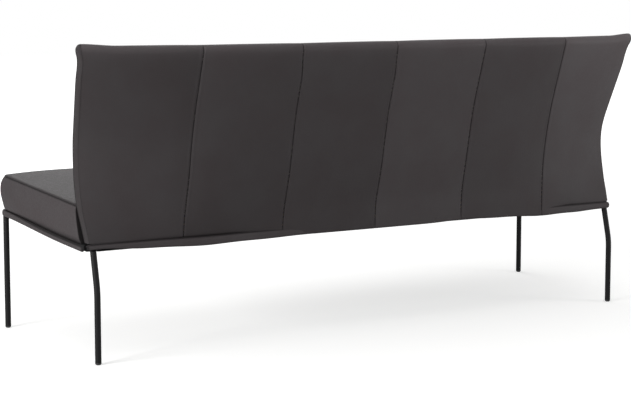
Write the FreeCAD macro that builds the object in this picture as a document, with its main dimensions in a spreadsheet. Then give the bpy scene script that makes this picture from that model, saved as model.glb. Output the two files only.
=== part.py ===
import FreeCAD, Part
import math
import os
import re
import Sketcher

os.makedirs("parts", exist_ok=True)
doc = FreeCAD.newDocument("dining_sofa")
sheet = doc.addObject("Spreadsheet::Sheet", "Sizes")

# Driving dimensions in millimetres and degrees.
# Depths run forward from the line through the rear feet, heights run up from the floor.
DRIVING = (
    ("base_front_width", 2000, "width of the seat base at the front corners"),
    ("base_rear_width", 1854, "width of the seat base at the rear corners"),
    ("base_depth", 598, "depth of the seat base from its rear face to its front face"),
    ("base_rear_setback", 12, "rear face of the base in front of the rear feet"),
    ("base_rear_height", 316, "underside of the base at its rear face"),
    ("base_front_height", 354, "underside of the base at its front face"),
    ("leg_diameter", 18, "outside of the round leg tube"),
    ("leg_wall", 2, "wall of the leg tube"),
    ("leg_inset", 16, "leg centre in from the faces of the base"),
    ("leg_lean", 14.3, "lean of the rear leg above its bend"),
    ("leg_bend_radius", 180, "centreline radius of the rear leg bend"),
    ("glide_height", 6, "glide below the end of the tube"),
    ("glide_plug_length", 14, "plug of the glide up inside the tube"),
    ("glide_edge", 3, "chamfer under the glide"),
    ("frame_tube", 16, "square steel tube of the base frame"),
    ("frame_wall", 1.5, "wall of the square tube"),
    ("rear_rail_depth", 40, "depth of the rectangular rear tube that carries the back"),
    ("cross_rail_place", 330, "cross rails each side of the middle"),
    ("gusset_size", 60, "side of the square corner gusset"),
    ("gusset_thickness", 3, "thickness of the corner gusset"),
    ("screw_shank", 5, "wood screw shank diameter"),
    ("screw_head", 9, "hexagon head of the wood screw across its corners"),
    ("screw_head_height", 3, "wood screw head height"),
    ("screw_length", 30, "wood screw length under its head"),
    ("screw_gap", 0.1, "play round a screw shank"),
    ("screw_inset", 24.5, "screws in from the nearest face of the base"),
    ("screw_spread", 60, "screws in from the other face of the base"),
    ("screw_rear_place", 94, "rear screw of a side rail in front of the rear face"),
    ("band_wall", 2, "leather band with its felt"),
    ("band_rear_stop", 14, "side bands short of the rear corners"),
    ("band_play", 0.05, "leather clear of the tubes it covers"),
    ("band_lip", 6.5, "width of the band turned over and under the tube"),
    ("band_round", 4, "outer rounding of the band"),
    ("dust_cover_room", 1.2, "play of that cloth round the legs"),
    ("dust_cover_thickness", 1, "woven cover under the seat"),
    ("wood_rail_width", 20, "beech rail, measured across"),
    ("wood_rail_height", 44, "beech rail, measured up"),
    ("front_rail_lap", 2, "front beech rail over the ends of the side rails"),
    ("rear_rail_lap", 6, "rear beech rail over the ends of the side rails"),
    ("wood_rear_place", 66, "rear beech rail in front of the rear face of the base"),
    ("strap_width", 60, "elastic belt width"),
    ("strap_thickness", 2, "elastic belt thickness"),
    ("strap_pitch", 160, "spacing of the seat belts"),
    ("strap_grip", 15, "belt end on its rail"),
    ("felt_thickness", 3, "felt over the belts"),
    ("seat_front_rise", 127, "top seam of the seat over the underside at the front"),
    ("seat_rear_rise", 117, "top seam of the seat over the underside at the back"),
    ("seat_rear_place", 90, "rear edge of the cushion in the middle"),
    ("seat_side_foot_place", 62, "foot of the side leather, which follows the back"),
    ("seat_corner_place", 108, "rear edge of the cushion at its ends"),
    ("seat_wall", 9.7, "padded leather on the sides and front of the seat"),
    ("seat_edge_radius", 26, "rounding of the front edge and front corners"),
    ("seat_edge_height", 3, "height of the top leather at its seams"),
    ("seat_crown", 7, "crown of a top panel above its seams"),
    ("side_crown", 4, "bulge of the side and front leather"),
    ("side_groove", 4, "shadow groove over the band"),
    ("seat_seam_place", 319, "top seams each side of the middle"),
    ("back_height", 890, "top of the back above the floor"),
    ("back_foot_height", 340, "lower edge of the rear leather"),
    ("back_foot_depth", 24, "lower edge of the rear leather in front of the rear feet"),
    ("back_lower_lean", 12.1, "lean of the lower back"),
    ("back_upper_lean", 19.2, "lean of the upper back"),
    ("back_bend_height", 685, "height where the lean changes"),
    ("back_foot_width", 1844, "width of the back at its lower edge"),
    ("back_top_width", 1932, "width of the back at its top"),
    ("back_panel_width", 319, "spacing of the upright seams"),
    ("wing_start", 400, "where the back leaves its straight middle, from the centre"),
    ("wing_bow_radius", 330, "radius of the forward bow of the back's ends"),
    ("wing_bow_height", 522, "height of the most forward point of the ends"),
    ("wing_bow_depth", 81, "depth of the most forward point of the ends"),
    ("wing_upper_lean", 21.5, "lean of the ends above their bow"),
    ("back_foot_thickness", 75, "thickness of the back low in the middle"),
    ("back_top_thickness", 50, "thickness of the back at the top in the middle"),
    ("back_end_thickness", 38, "thickness of the back at its ends"),
    ("back_skin", 6, "padded leather on the back"),
    ("back_rim_radius", 18, "rounding of the top rim"),
    ("back_rim_step", 2, "height over which the leather closes above the foam"),
    ("back_rear_crown", 4, "crown of a rear panel between its seams"),
    ("back_front_crown", 7, "crown of a front panel between its seams"),
    ("back_border", 7, "leather border on the ends of the back"),
    ("back_border_crown", 3, "bulge of the end border"),
    ("front_leather_foot", 395, "lower edge of the front leather, tucked behind the cushion"),
    ("back_tube", 12, "depth and width that the square steel tubes of the back may take up"),
    ("back_tube_side", 9, "side of those square tubes"),
    ("back_tube_wall", 1.5, "wall of that tube"),
    ("back_tube_gap", 2.5, "space each side of the tube between leather and foam"),
    ("upright_bend_radius", 120, "centreline radius of the middle uprights' bend"),
    ("end_upright_inset", 28, "centre of an end upright in from the end of the back"),
    ("wing_plate_margin", 22, "curved steel plates in from the ends of the wings"),
    ("wing_plate_gap", 1.1, "plates in front of the tubes"),
    ("back_strap_width", 50, "belts across the middle of the back"),
    ("back_strap_room", 3.1, "room for belts and plates between tubes and foam"),
    ("back_strap_thickness", 2, "thickness of those belts"),
    ("back_strap_pitch", 90, "spacing of those belts"),
    ("back_strap_start", 415, "lower edge of the lowest of those belts"),
    ("trim_room", 60, "overrun of a trimming block past what it trims"),
    ("seam_gap", 0.3, "clearance on each side of a sewn seam"),
)
for row, (alias, number, meaning) in enumerate(DRIVING, start=1):
    sheet.set(f"A{row}", alias)
    sheet.set(f"B{row}", str(number))
    sheet.setAlias(f"B{row}", alias)
    sheet.set(f"C{row}", meaning)
doc.recompute()
size = {alias: float(sheet.get(alias)) for alias, number, meaning in DRIVING}
ALIAS_WORDS = re.compile(r"\b(" + "|".join(sorted(size, key=len, reverse=True)) + r")\b")
SIDES = (("left", -1), ("right", 1))


def bind(thing, prop, formula):
    """Ties a property to the sheet; the formula is written in the sheet's own words."""
    thing.setExpression(prop, ALIAS_WORDS.sub(r"Sizes.\1", formula))


def bind_all(thing, formulas):
    for prop, formula in formulas.items():
        bind(thing, prop, formula)


# The front looks along -Y and the box of the whole sofa is centred on the origin.
FULL_TURN = 360
LEAN_LOW = math.tan(math.radians(size["back_lower_lean"]))
LEAN_HIGH = math.tan(math.radians(size["back_upper_lean"]))
LEAN_WING = math.tan(math.radians(size["wing_upper_lean"]))


def middle_depth(height):
    """Depth of the rear leather in the straight middle: two leaning straights."""
    low = min(height, size["back_bend_height"]) - size["back_foot_height"]
    high = max(height - size["back_bend_height"], 0)
    return size["back_foot_depth"] - low * LEAN_LOW - high * LEAN_HIGH


RIM_START = size["back_height"] - size["back_rim_radius"]
BASE_RISE = size["base_front_height"] - size["base_rear_height"]
FRONT_REACH = size["base_rear_setback"] + math.sqrt(size["base_depth"] ** 2 - BASE_RISE ** 2)
REAR_REACH = size["back_rear_crown"] - middle_depth(RIM_START)
REAR_FOOT_Y = (FRONT_REACH - REAR_REACH) / 2


def at(across, depth, height):
    """A point of the sofa, with its depth counted forward from the rear feet."""
    return FreeCAD.Vector(across, REAR_FOOT_Y - depth, height)


# The seat and its base share one frame, tipped up towards the front.
TILT = math.degrees(math.atan2(BASE_RISE, size["base_depth"]))
SEAT_PLACE = FreeCAD.Placement(
    at(0, size["base_rear_setback"], size["base_rear_height"]),
    FreeCAD.Rotation(FreeCAD.Vector(1, 0, 0), -TILT),
)
TAPER = (size["base_front_width"] - size["base_rear_width"]) / 2 / size["base_depth"]


def half_width(place):
    """Half the width of the base at a distance forward of its rear face."""
    return size["base_rear_width"] / 2 + TAPER * place


def half_formula(place, inset="0"):
    """The same half width, less an inset, written for the sheet."""
    return (
        "(base_rear_width / 2 + (base_front_width - base_rear_width) / 2"
        f" * ({place}) / base_depth - ({inset}))"
    )


def seat_point(across, forward, up):
    """A point in the tipped frame of the seat."""
    return FreeCAD.Vector(across, -forward, up)


finished = []


def finish(thing, label, placement=None):
    """Names a sub-part, puts it in its place and lists it for the export."""
    thing.Label = label
    if placement is not None:
        thing.Placement = placement
    finished.append(thing)
    return thing


def board(name, across_front, across_rear, span, up):
    """A straight piece with tapered ends; span is its front and rear, up its bottom and top."""
    piece = doc.addObject("Part::Wedge", name)
    bind_all(piece, {
        "Ymin": f"-({span[0]})", "Ymax": f"-({span[1]})",
        "Xmin": across_front[0], "Xmax": across_front[1],
        "X2min": across_rear[0], "X2max": across_rear[1],
        "Zmin": up[0], "Zmax": up[1], "Z2min": up[0], "Z2max": up[1],
    })
    return piece


def cut(name, whole, tool):
    piece = doc.addObject("Part::Cut", name)
    piece.Base = whole
    piece.Tool = tool
    return piece


def group(name, pieces):
    bundle = doc.addObject("Part::Compound", name)
    bundle.Links = pieces
    return bundle


def across_base(place, inset):
    """Left and right ends of a piece that runs across the base."""
    edge = half_formula(place, inset)
    return f"-{edge}", edge


# Base frame: square tubes welded in a ring, with a deeper tube at the rear under the back.
FRAME_BOTTOM = "band_wall"
FRAME_TOP = "band_wall + frame_tube"
FRONT_RAIL = ("base_depth - band_wall", "base_depth - band_wall - frame_tube")
REAR_RAIL = ("band_wall + rear_rail_depth", "band_wall")


def cross_tube(name, span):
    """A rectangular tube from side to side, open at both ends."""
    outside = board(
        name + "_outside", across_base(span[0], "band_wall"), across_base(span[1], "band_wall"),
        span, (FRAME_BOTTOM, FRAME_TOP),
    )
    reach = ("-base_front_width", "base_front_width")
    bore = board(
        name + "_bore", reach, reach,
        (f"{span[0]} - frame_wall", f"{span[1]} + frame_wall"),
        (f"{FRAME_BOTTOM} + frame_wall", f"{FRAME_TOP} - frame_wall"),
    )
    return cut(name, outside, bore)


def side_tube(name, side, span, outer, inner):
    """A square tube from front to rear; outer and inner give its insets from the side face."""
    def walls(place, shrink):
        faces = (half_formula(place, f"{inner} - {shrink}"), half_formula(place, f"{outer} + {shrink}"))
        return faces if side > 0 else (f"-{faces[1]}", f"-{faces[0]}")

    outside = board(
        name + "_outside", walls(span[0], "0"), walls(span[1], "0"), span,
        (FRAME_BOTTOM, FRAME_TOP),
    )
    ends = (f"{span[0]} + frame_tube", f"{span[1]} - frame_tube")
    bore = board(
        name + "_bore", walls(ends[0], "frame_wall"), walls(ends[1], "frame_wall"), ends,
        (f"{FRAME_BOTTOM} + frame_wall", f"{FRAME_TOP} - frame_wall"),
    )
    return cut(name, outside, bore)


finish(cross_tube("front_tube", FRONT_RAIL), "base_front_rail", SEAT_PLACE)
finish(cross_tube("rear_tube", REAR_RAIL), "base_rear_rail", SEAT_PLACE)
BETWEEN_RAILS = (FRONT_RAIL[1], REAR_RAIL[0])
for side_name, side in SIDES:
    rail = side_tube(side_name + "_tube", side, BETWEEN_RAILS, "band_wall", "band_wall + frame_tube")
    finish(rail, f"base_{side_name}_rail", SEAT_PLACE)
    middle = f"{side} * cross_rail_place"
    walls = (f"{middle} - frame_tube / 2", f"{middle} + frame_tube / 2")
    solid = board(side_name + "_cross_outside", walls, walls, BETWEEN_RAILS, (FRAME_BOTTOM, FRAME_TOP))
    inner = (f"{walls[0]} + frame_wall", f"{walls[1]} - frame_wall")
    bore = board(
        side_name + "_cross_bore", inner, inner,
        (f"{BETWEEN_RAILS[0]} + frame_tube", f"{BETWEEN_RAILS[1]} - frame_tube"),
        (f"{FRAME_BOTTOM} + frame_wall", f"{FRAME_TOP} - frame_wall"),
    )
    finish(cut(side_name + "_cross", solid, bore), f"base_cross_rail_{side_name}", SEAT_PLACE)

# Gussets fill the inner corners of the frame, and screws through them hold the beech frame.
FRONT_CORNER = {
    "span": (FRONT_RAIL[1], f"{FRONT_RAIL[1]} - gusset_size"),
    "screws": (("screw_spread", "base_depth - screw_inset"), ("screw_inset", "base_depth - screw_spread")),
}
REAR_CORNER = {
    "span": (f"{REAR_RAIL[0]} + gusset_size", REAR_RAIL[0]),
    "screws": (
        ("screw_spread", "wood_rear_place + wood_rail_width / 2"),
        ("screw_inset", "screw_rear_place"),
    ),
}
GUSSET_BOTTOM = f"{FRAME_TOP} - gusset_thickness"


def post(name, radius, across, forward, up, height):
    """An upright round piece in the frame of the seat."""
    piece = doc.addObject("Part::Cylinder", name)
    bind_all(piece, {
        "Radius": radius, "Height": height,
        "Placement.Base.x": across, "Placement.Base.y": f"-({forward})", "Placement.Base.z": up,
    })
    return piece


HEAD_SIDES = 6
gussets = []
screws = []
screw_holes = []
for corner_name, corner in (("front", FRONT_CORNER), ("rear", REAR_CORNER)):
    for side_name, side in SIDES:
        name = f"{corner_name}_{side_name}"
        ends = []
        for place in corner["span"]:
            outer = half_formula(place, "band_wall + frame_tube")
            inner = half_formula(place, "band_wall + frame_tube + gusset_size")
            ends.append((inner, outer) if side > 0 else (f"-{outer}", f"-{inner}"))
        plate = board(name + "_plate", ends[0], ends[1], corner["span"], (GUSSET_BOTTOM, FRAME_TOP))
        holes = []
        for number, (inset, forward) in enumerate(corner["screws"]):
            across = f"{side} * {half_formula(forward, inset)}"
            tag = f"{name}_{number}"
            screw = doc.addObject("Part::Fuse", tag + "_screw")
            head = doc.addObject("Part::Prism", tag + "_head")
            head.Polygon = HEAD_SIDES
            bind_all(head, {
                "Circumradius": "screw_head / 2", "Height": "screw_head_height",
                "Placement.Base.x": across, "Placement.Base.y": f"-({forward})",
                "Placement.Base.z": f"{GUSSET_BOTTOM} - screw_head_height",
            })
            screw.Base = head
            screw.Tool = post(
                tag + "_shank", "screw_shank / 2", across, forward, GUSSET_BOTTOM, "screw_length",
            )
            screws.append(screw)
            holes.append(post(
                tag + "_hole", "screw_shank / 2 + screw_gap", across, forward,
                GUSSET_BOTTOM, "screw_length + screw_gap",
            ))
        screw_holes.extend(holes)
        gussets.append(cut(name + "_gusset", plate, group(name + "_holes", holes)))
finish(group("gussets", gussets), "corner_gussets", SEAT_PLACE)
finish(group("screws", screws), "frame_screws", SEAT_PLACE)

# Beech frame on the steel one, drilled for the screws.
WOOD_UP = (FRAME_TOP, f"{FRAME_TOP} + wood_rail_height")
WOOD_INSET = "seat_wall + seam_gap"
WOOD_FRONT = (f"base_depth - ({WOOD_INSET})", f"base_depth - ({WOOD_INSET}) - wood_rail_width")
WOOD_REAR = ("wood_rear_place + wood_rail_width", "wood_rear_place")
all_holes = group("all_screw_holes", screw_holes)


def drilled(name, rail, label):
    finish(cut(name, rail, all_holes), label, SEAT_PLACE)


def wood_rail(name, span, inset):
    return board(name, across_base(span[0], inset), across_base(span[1], inset), span, WOOD_UP)


INNER_WOOD = f"{WOOD_INSET} + wood_rail_width"
FRONT_END = f"{INNER_WOOD} - front_rail_lap"
REAR_END = f"{INNER_WOOD} - rear_rail_lap"
drilled("front_wood", wood_rail("front_wood_blank", WOOD_FRONT, FRONT_END), "seat_front_rail")
drilled("rear_wood", wood_rail("rear_wood_blank", WOOD_REAR, REAR_END), "seat_rear_rail")
for side_name, side in SIDES:
    span = (WOOD_FRONT[1], WOOD_REAR[0])
    ends = []
    for place in span:
        walls = (half_formula(place, INNER_WOOD), half_formula(place, WOOD_INSET))
        ends.append(walls if side > 0 else (f"-{walls[1]}", f"-{walls[0]}"))
    blank = board(side_name + "_wood_blank", ends[0], ends[1], span, WOOD_UP)
    drilled(side_name + "_wood", blank, f"seat_{side_name}_rail")

# Elastic belts from the rear rail to the front rail, with felt over them.
STRAP_COUNT = int((size["base_rear_width"] / 2 - size["strap_width"]) // size["strap_pitch"])
belts = []
for number in range(-STRAP_COUNT, STRAP_COUNT + 1):
    belt = doc.addObject("Part::Box", f"seat_belt_{number + STRAP_COUNT + 1}")
    bind_all(belt, {
        "Length": "strap_width", "Height": "strap_thickness",
        "Width": f"({WOOD_FRONT[1]}) - ({WOOD_REAR[0]}) + 2 * strap_grip",
        "Placement.Base.x": f"{number} * strap_pitch - strap_width / 2",
        "Placement.Base.y": f"-({WOOD_FRONT[1]}) - strap_grip",
        "Placement.Base.z": WOOD_UP[1],
    })
    belts.append(belt)
finish(group("seat_belts", belts), "seat_belts", SEAT_PLACE)
FELT_UP = (f"{WOOD_UP[1]} + strap_thickness", f"{WOOD_UP[1]} + strap_thickness + felt_thickness")
FELT_SPAN = (WOOD_FRONT[1], "seat_corner_place")
felt = board(
    "felt", across_base(FELT_SPAN[0], WOOD_INSET), across_base(FELT_SPAN[1], WOOD_INSET),
    FELT_SPAN, FELT_UP,
)
finish(felt, "seat_felt", SEAT_PLACE)

# Woven cover stapled under the frame, notched at the corners for the legs.
COVER_INSET = "band_lip + screw_gap"
COVER_SPAN = (f"base_depth - ({COVER_INSET})", COVER_INSET)
NOTCH = "(leg_inset + leg_diameter / 2 + dust_cover_room)"
cover = board(
    "cover_cloth", across_base(COVER_SPAN[0], COVER_INSET), across_base(COVER_SPAN[1], COVER_INSET),
    COVER_SPAN, (f"{FRAME_BOTTOM} - dust_cover_thickness", FRAME_BOTTOM),
)
notches = []
for end_name, start, end in (("front", "base_depth", f"base_depth - {NOTCH}"), ("rear", NOTCH, "0")):
    for side_name, side in SIDES:
        notch = doc.addObject("Part::Box", f"notch_{end_name}_{side_name}")
        inner = half_formula(end if end_name == "front" else start, NOTCH)
        bind_all(notch, {
            "Length": "leg_diameter * 2", "Width": f"({start}) - ({end})", "Height": "leg_diameter",
            "Placement.Base.x": inner if side > 0 else f"-{inner} - leg_diameter * 2",
            "Placement.Base.y": f"-({start})", "Placement.Base.z": "0",
        })
        notches.append(notch)
finish(cut("cover", cover, group("cover_notches", notches)), "dust_cover", SEAT_PLACE)


def origin_plane(body, role):
    """One of a body's own base planes."""
    return next(plane for plane in body.Origin.OriginFeatures if plane.Role == role)


def new_sketch(body, name, role):
    drawing = body.newObject("Sketcher::SketchObject", name)
    drawing.AttachmentSupport = [(origin_plane(body, role), "")]
    drawing.MapMode = "FlatFace"
    return drawing


def square_profile(body, name, role, outside, wall):
    """Two squares round the origin: the outside and the bore of a square tube."""
    drawing = new_sketch(body, name, role)
    count = 4
    for half, formula in (
        (size[outside] / 2, f"{outside} / 2"),
        (size[outside] / 2 - size[wall], f"{outside} / 2 - {wall}"),
    ):
        signs = ((-1, -1), (1, -1), (1, 1), (-1, 1))
        spots = [FreeCAD.Vector(across * half, up * half, 0) for across, up in signs]
        sides = [
            drawing.addGeometry(Part.LineSegment(spots[k], spots[(k + 1) % count]), False)
            for k in range(count)
        ]
        for k in range(count):
            drawing.addConstraint(Sketcher.Constraint("Coincident", sides[k], 2, sides[(k + 1) % count], 1))
        for side, (across, up) in zip(sides, signs):
            for kind, sign in (("DistanceX", across), ("DistanceY", up)):
                bound = drawing.addConstraint(Sketcher.Constraint(kind, -1, 1, side, 1, sign * half))
                bind(drawing, f"Constraints[{bound}]", f"{sign} * ({formula})")
    return drawing


def tube_profile(body, name, role, outside, wall):
    """Two rings round the origin: the outside and the bore of a tube."""
    drawing = new_sketch(body, name, role)
    centre = FreeCAD.Vector(0, 0, 0)
    axis = FreeCAD.Vector(0, 0, 1)
    for radius, formula in (
        (size[outside] / 2, f"{outside} / 2"),
        (size[outside] / 2 - size[wall], f"{outside} / 2 - {wall}"),
    ):
        ring = drawing.addGeometry(Part.Circle(centre, axis, radius), False)
        drawing.addConstraint(Sketcher.Constraint("Coincident", ring, 3, -1, 1))
        bound = drawing.addConstraint(Sketcher.Constraint("Radius", ring, radius))
        bind(drawing, f"Constraints[{bound}]", formula)
    return drawing


def bent_line(body, name, role, first, radius, turn, last, towards):
    """A straight, one bend and a straight; each size comes as its number and its formula."""
    drawing = new_sketch(body, name, role)
    up = role == "YZ_Plane"

    def spot(run, aside):
        return FreeCAD.Vector(towards * aside, run, 0) if up else FreeCAD.Vector(run, towards * aside, 0)

    angle = math.radians(turn[0])
    bend_end = (first[0] + radius[0] * math.sin(angle), radius[0] * (1 - math.cos(angle)))
    mid = (first[0] + radius[0] * math.sin(angle / 2), radius[0] * (1 - math.cos(angle / 2)))
    tip = (bend_end[0] + last[0] * math.cos(angle), bend_end[1] + last[0] * math.sin(angle))
    start_run = drawing.addGeometry(Part.LineSegment(spot(0, 0), spot(first[0], 0)), False)
    bend = drawing.addGeometry(Part.Arc(spot(first[0], 0), spot(*mid), spot(*bend_end)), False)
    end_run = drawing.addGeometry(Part.LineSegment(spot(*bend_end), spot(*tip)), False)
    joint = FreeCAD.Vector(*spot(first[0], 0))
    near, far = (1, 2) if drawing.getPoint(bend, 1).distanceToPoint(joint) < size["seam_gap"] else (2, 1)
    drawing.addConstraint(Sketcher.Constraint("Coincident", start_run, 1, -1, 1))
    drawing.addConstraint(Sketcher.Constraint("Vertical" if up else "Horizontal", start_run))
    drawing.addConstraint(Sketcher.Constraint("Tangent", start_run, 2, bend, near))
    drawing.addConstraint(Sketcher.Constraint("Tangent", bend, far, end_run, 1))
    for kind, part_number, (number, formula) in (
        ("Distance", start_run, first), ("Radius", bend, radius), ("Distance", end_run, last),
    ):
        bound = drawing.addConstraint(Sketcher.Constraint(kind, part_number, number))
        bind(drawing, f"Constraints[{bound}]", formula)
    sense = -towards if up else towards
    bound = drawing.addConstraint(Sketcher.Constraint("Angle", start_run, 1, end_run, 1, sense * angle))
    bind(drawing, f"Constraints[{bound}]", f"{sense} * ({turn[1]})")
    return drawing


def bent_tube(name, first, radius, turn, last, towards, profile_of, outside, wall):
    """A tube that starts straight up and bends once; profile_of draws its section."""
    body = doc.addObject("PartDesign::Body", name)
    profile = profile_of(body, name + "_section", "XY_Plane", outside, wall)
    line = bent_line(body, name + "_line", "YZ_Plane", first, radius, turn, last, towards)
    pipe = body.newObject("PartDesign::AdditivePipe", name + "_pipe")
    pipe.Profile = profile
    pipe.Spine = (line, ["Edge1", "Edge2", "Edge3"])
    return body


# A block over the underside of the frame trims the tops of the legs to its slope.
leg_trim = doc.addObject("Part::Box", "leg_trim")
bind_all(leg_trim, {
    "Length": "base_front_width * 2", "Width": "base_depth * 2", "Height": "base_rear_height",
})
trim_corner = seat_point(-size["base_front_width"], size["base_depth"] + size["trim_room"], size["band_wall"])
leg_trim.Placement = SEAT_PLACE.multiply(FreeCAD.Placement(trim_corner, FreeCAD.Rotation()))

LEG_SLOPE = math.tan(math.radians(size["leg_lean"]))
BEND_RISE = size["leg_bend_radius"] * math.sin(math.radians(size["leg_lean"]))
BEND_SHIFT = size["leg_bend_radius"] * (1 - math.cos(math.radians(size["leg_lean"])))
KICK = size["base_rear_setback"] + size["leg_inset"]
LEG_TOP = size["base_rear_height"] + size["band_wall"] + size["leg_inset"] * BASE_RISE / size["base_depth"]
LOWER_RUN = LEG_TOP - size["glide_height"] - BEND_RISE - (KICK - BEND_SHIFT) / LEG_SLOPE
LOWER_FORMULA = (
    "base_rear_height + band_wall + leg_inset * (base_front_height - base_rear_height) / base_depth"
    " - glide_height - leg_bend_radius * sin(leg_lean)"
    " - (base_rear_setback + leg_inset - leg_bend_radius * (1 - cos(leg_lean))) / tan(leg_lean)"
)
UPPER_RUN = (KICK - BEND_SHIFT) / math.sin(math.radians(size["leg_lean"])) + size["leg_diameter"]
UPPER_FORMULA = (
    "(base_rear_setback + leg_inset - leg_bend_radius * (1 - cos(leg_lean))) / sin(leg_lean)"
    " + leg_diameter"
)


PLUG_SIDES = 6


def straight_leg(name):
    body = doc.addObject("PartDesign::Body", name)
    profile = tube_profile(body, name + "_section", "XY_Plane", "leg_diameter", "leg_wall")
    pad = body.newObject("PartDesign::Pad", name + "_tube")
    pad.Profile = profile
    bind(pad, "Length", "base_front_height + leg_diameter")
    return body


def kicked_leg(name):
    return bent_tube(
        name, (LOWER_RUN, LOWER_FORMULA), (size["leg_bend_radius"], "leg_bend_radius"),
        (size["leg_lean"], "leg_lean"), (UPPER_RUN, UPPER_FORMULA), -1,
        tube_profile, "leg_diameter", "leg_wall",
    )


def glide(name):
    """A plastic foot: a chamfered sole as wide as the tube and a six-sided plug in its bore."""
    body = doc.addObject("PartDesign::Body", name)
    drawing = new_sketch(body, name + "_section", "XZ_Plane")
    shoulder = size["leg_diameter"] / 2
    edge = size["glide_edge"]
    top = size["glide_height"]
    corners = [(0, 0), (shoulder - edge, 0), (shoulder, edge), (shoulder, top), (0, top)]
    spots = [FreeCAD.Vector(out, up, 0) for out, up in corners]
    outline = [Part.LineSegment(spots[k], spots[(k + 1) % len(spots)]) for k in range(len(spots))]
    for curve in outline:
        drawing.addGeometry(curve, False)
    for number in range(len(outline)):
        following = (number + 1) % len(outline)
        drawing.addConstraint(Sketcher.Constraint("Coincident", number, 2, following, 1))
    places = (
        ("0", "0"), ("leg_diameter / 2 - glide_edge", "0"), ("leg_diameter / 2", "glide_edge"),
        ("leg_diameter / 2", "glide_height"), ("0", "glide_height"),
    )
    for number, (out, up) in enumerate(places):
        for kind, formula, value in (
            ("DistanceX", out, corners[number][0]), ("DistanceY", up, corners[number][1]),
        ):
            bound = drawing.addConstraint(Sketcher.Constraint(kind, -1, 1, number, 1, value))
            if formula != "0":
                bind(drawing, f"Constraints[{bound}]", formula)
    turned = body.newObject("PartDesign::Revolution", name + "_turned")
    turned.Profile = drawing
    turned.ReferenceAxis = (drawing, ["V_Axis"])
    turned.Angle = FULL_TURN
    plug = doc.addObject("Part::Prism", name + "_plug")
    plug.Polygon = PLUG_SIDES
    bind_all(plug, {
        "Circumradius": "leg_diameter / 2 - leg_wall - screw_gap",
        "Height": "glide_height + glide_plug_length",
    })
    foot = doc.addObject("Part::Fuse", name + "_foot")
    foot.Base = body
    foot.Tool = plug
    return foot


for end_name, forward in (("front", size["base_depth"] - size["leg_inset"]), ("rear", size["leg_inset"])):
    for side_name, side in SIDES:
        name = f"{end_name}_{side_name}"
        across = side * (half_width(forward) - size["leg_inset"])
        top = SEAT_PLACE.multVec(seat_point(across, forward, size["band_wall"]))
        if end_name == "front":
            foot = FreeCAD.Vector(top.x, top.y, 0)
            tube = straight_leg(name + "_leg_body")
        else:
            foot = at(across, 0, 0)
            tube = kicked_leg(name + "_leg_body")
        tube.Placement = FreeCAD.Placement(
            foot + FreeCAD.Vector(0, 0, size["glide_height"]), FreeCAD.Rotation()
        )
        finish(cut(name + "_leg", tube, leg_trim), f"leg_{name}")
        foot_glide = glide(name + "_glide_body")
        finish(foot_glide, f"foot_glide_{name}", FreeCAD.Placement(foot, FreeCAD.Rotation()))


def line(start, end):
    return Part.makeLine(start, end)


def arc(start, middle, end):
    return Part.Arc(start, middle, end).toShape()


def ruled(name, wires):
    """A solid with straight walls from each outline to the next."""
    piece = doc.addObject("Part::Feature", name)
    piece.Shape = Part.makeLoft(wires, True, True)
    return piece


# Leather band round the base tubes: a channel with rounded outer edges, mitred at the corners.
def mitred(side, room):
    """The end of a band at a front corner, on the diagonal and a little short of its neighbour."""
    def place(inset):
        forward = size["base_depth"] - inset
        return side * (half_width(forward) - inset) + room[0], forward + room[1]
    return place


def rear_end(side):
    """The square end of the rear band, over the corner of the base."""
    def place(inset):
        return side * half_width(0), inset
    return place


def side_end(side):
    """The slanted end of a side band, short of the rear one so that the corner shows its steel."""
    def place(inset):
        forward = size["band_rear_stop"] + inset
        return side * (half_width(forward) - inset), forward
    return place


def band_outline(place):
    wall = size["band_wall"] - size["band_play"]
    lip = size["band_lip"]
    curve = size["band_round"]
    top = 2 * size["band_wall"] + size["frame_tube"]
    mid = curve * (1 - math.sqrt(0.5))

    def spot(inset, up):
        return seat_point(*place(inset), up)

    return Part.Wire([
        line(spot(lip, 0), spot(curve, 0)),
        arc(spot(curve, 0), spot(mid, mid), spot(0, curve)),
        line(spot(0, curve), spot(0, top - curve)),
        arc(spot(0, top - curve), spot(mid, top - mid), spot(curve, top)),
        line(spot(curve, top), spot(lip, top)),
        line(spot(lip, top), spot(lip, top - wall)),
        line(spot(lip, top - wall), spot(wall, top - wall)),
        line(spot(wall, top - wall), spot(wall, wall)),
        line(spot(wall, wall), spot(lip, wall)),
        line(spot(lip, wall), spot(lip, 0)),
    ])


ROOM_AT_MITRE = size["seam_gap"] / 2
BANDS = {
    "front": (mitred(-1, (ROOM_AT_MITRE, 0)), mitred(1, (-ROOM_AT_MITRE, 0))),
    "rear": (rear_end(-1), rear_end(1)),
    "left": (side_end(-1), mitred(-1, (ROOM_AT_MITRE * TAPER, -ROOM_AT_MITRE))),
    "right": (side_end(1), mitred(1, (-ROOM_AT_MITRE * TAPER, -ROOM_AT_MITRE))),
}
for band_name, (start, end) in BANDS.items():
    band = ruled(band_name + "_band", [band_outline(start), band_outline(end)])
    finish(band, f"band_{band_name}", SEAT_PLACE)

# Upholstery of the seat.
GAP = size["seam_gap"]
FRAME_HEAD = 2 * size["band_wall"] + size["frame_tube"]
FELT_HEAD = size["band_wall"] + size["frame_tube"] + size["wood_rail_height"]
FELT_HEAD += size["strap_thickness"] + size["felt_thickness"]
EDGE = size["seat_edge_radius"]


def seam_rise(forward):
    """Height of the cushion's top seam over the underside of the base."""
    start = size["seat_rear_place"]
    slope = (size["seat_front_rise"] - size["seat_rear_rise"]) / (size["base_depth"] - start)
    return size["seat_rear_rise"] + slope * (forward - start)


REAR_SEAM = 2 * size["seat_seam_place"]

ROLL_START = size["base_depth"] - size["side_groove"] - EDGE
PAD_INSET = size["seat_wall"] + GAP


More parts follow.
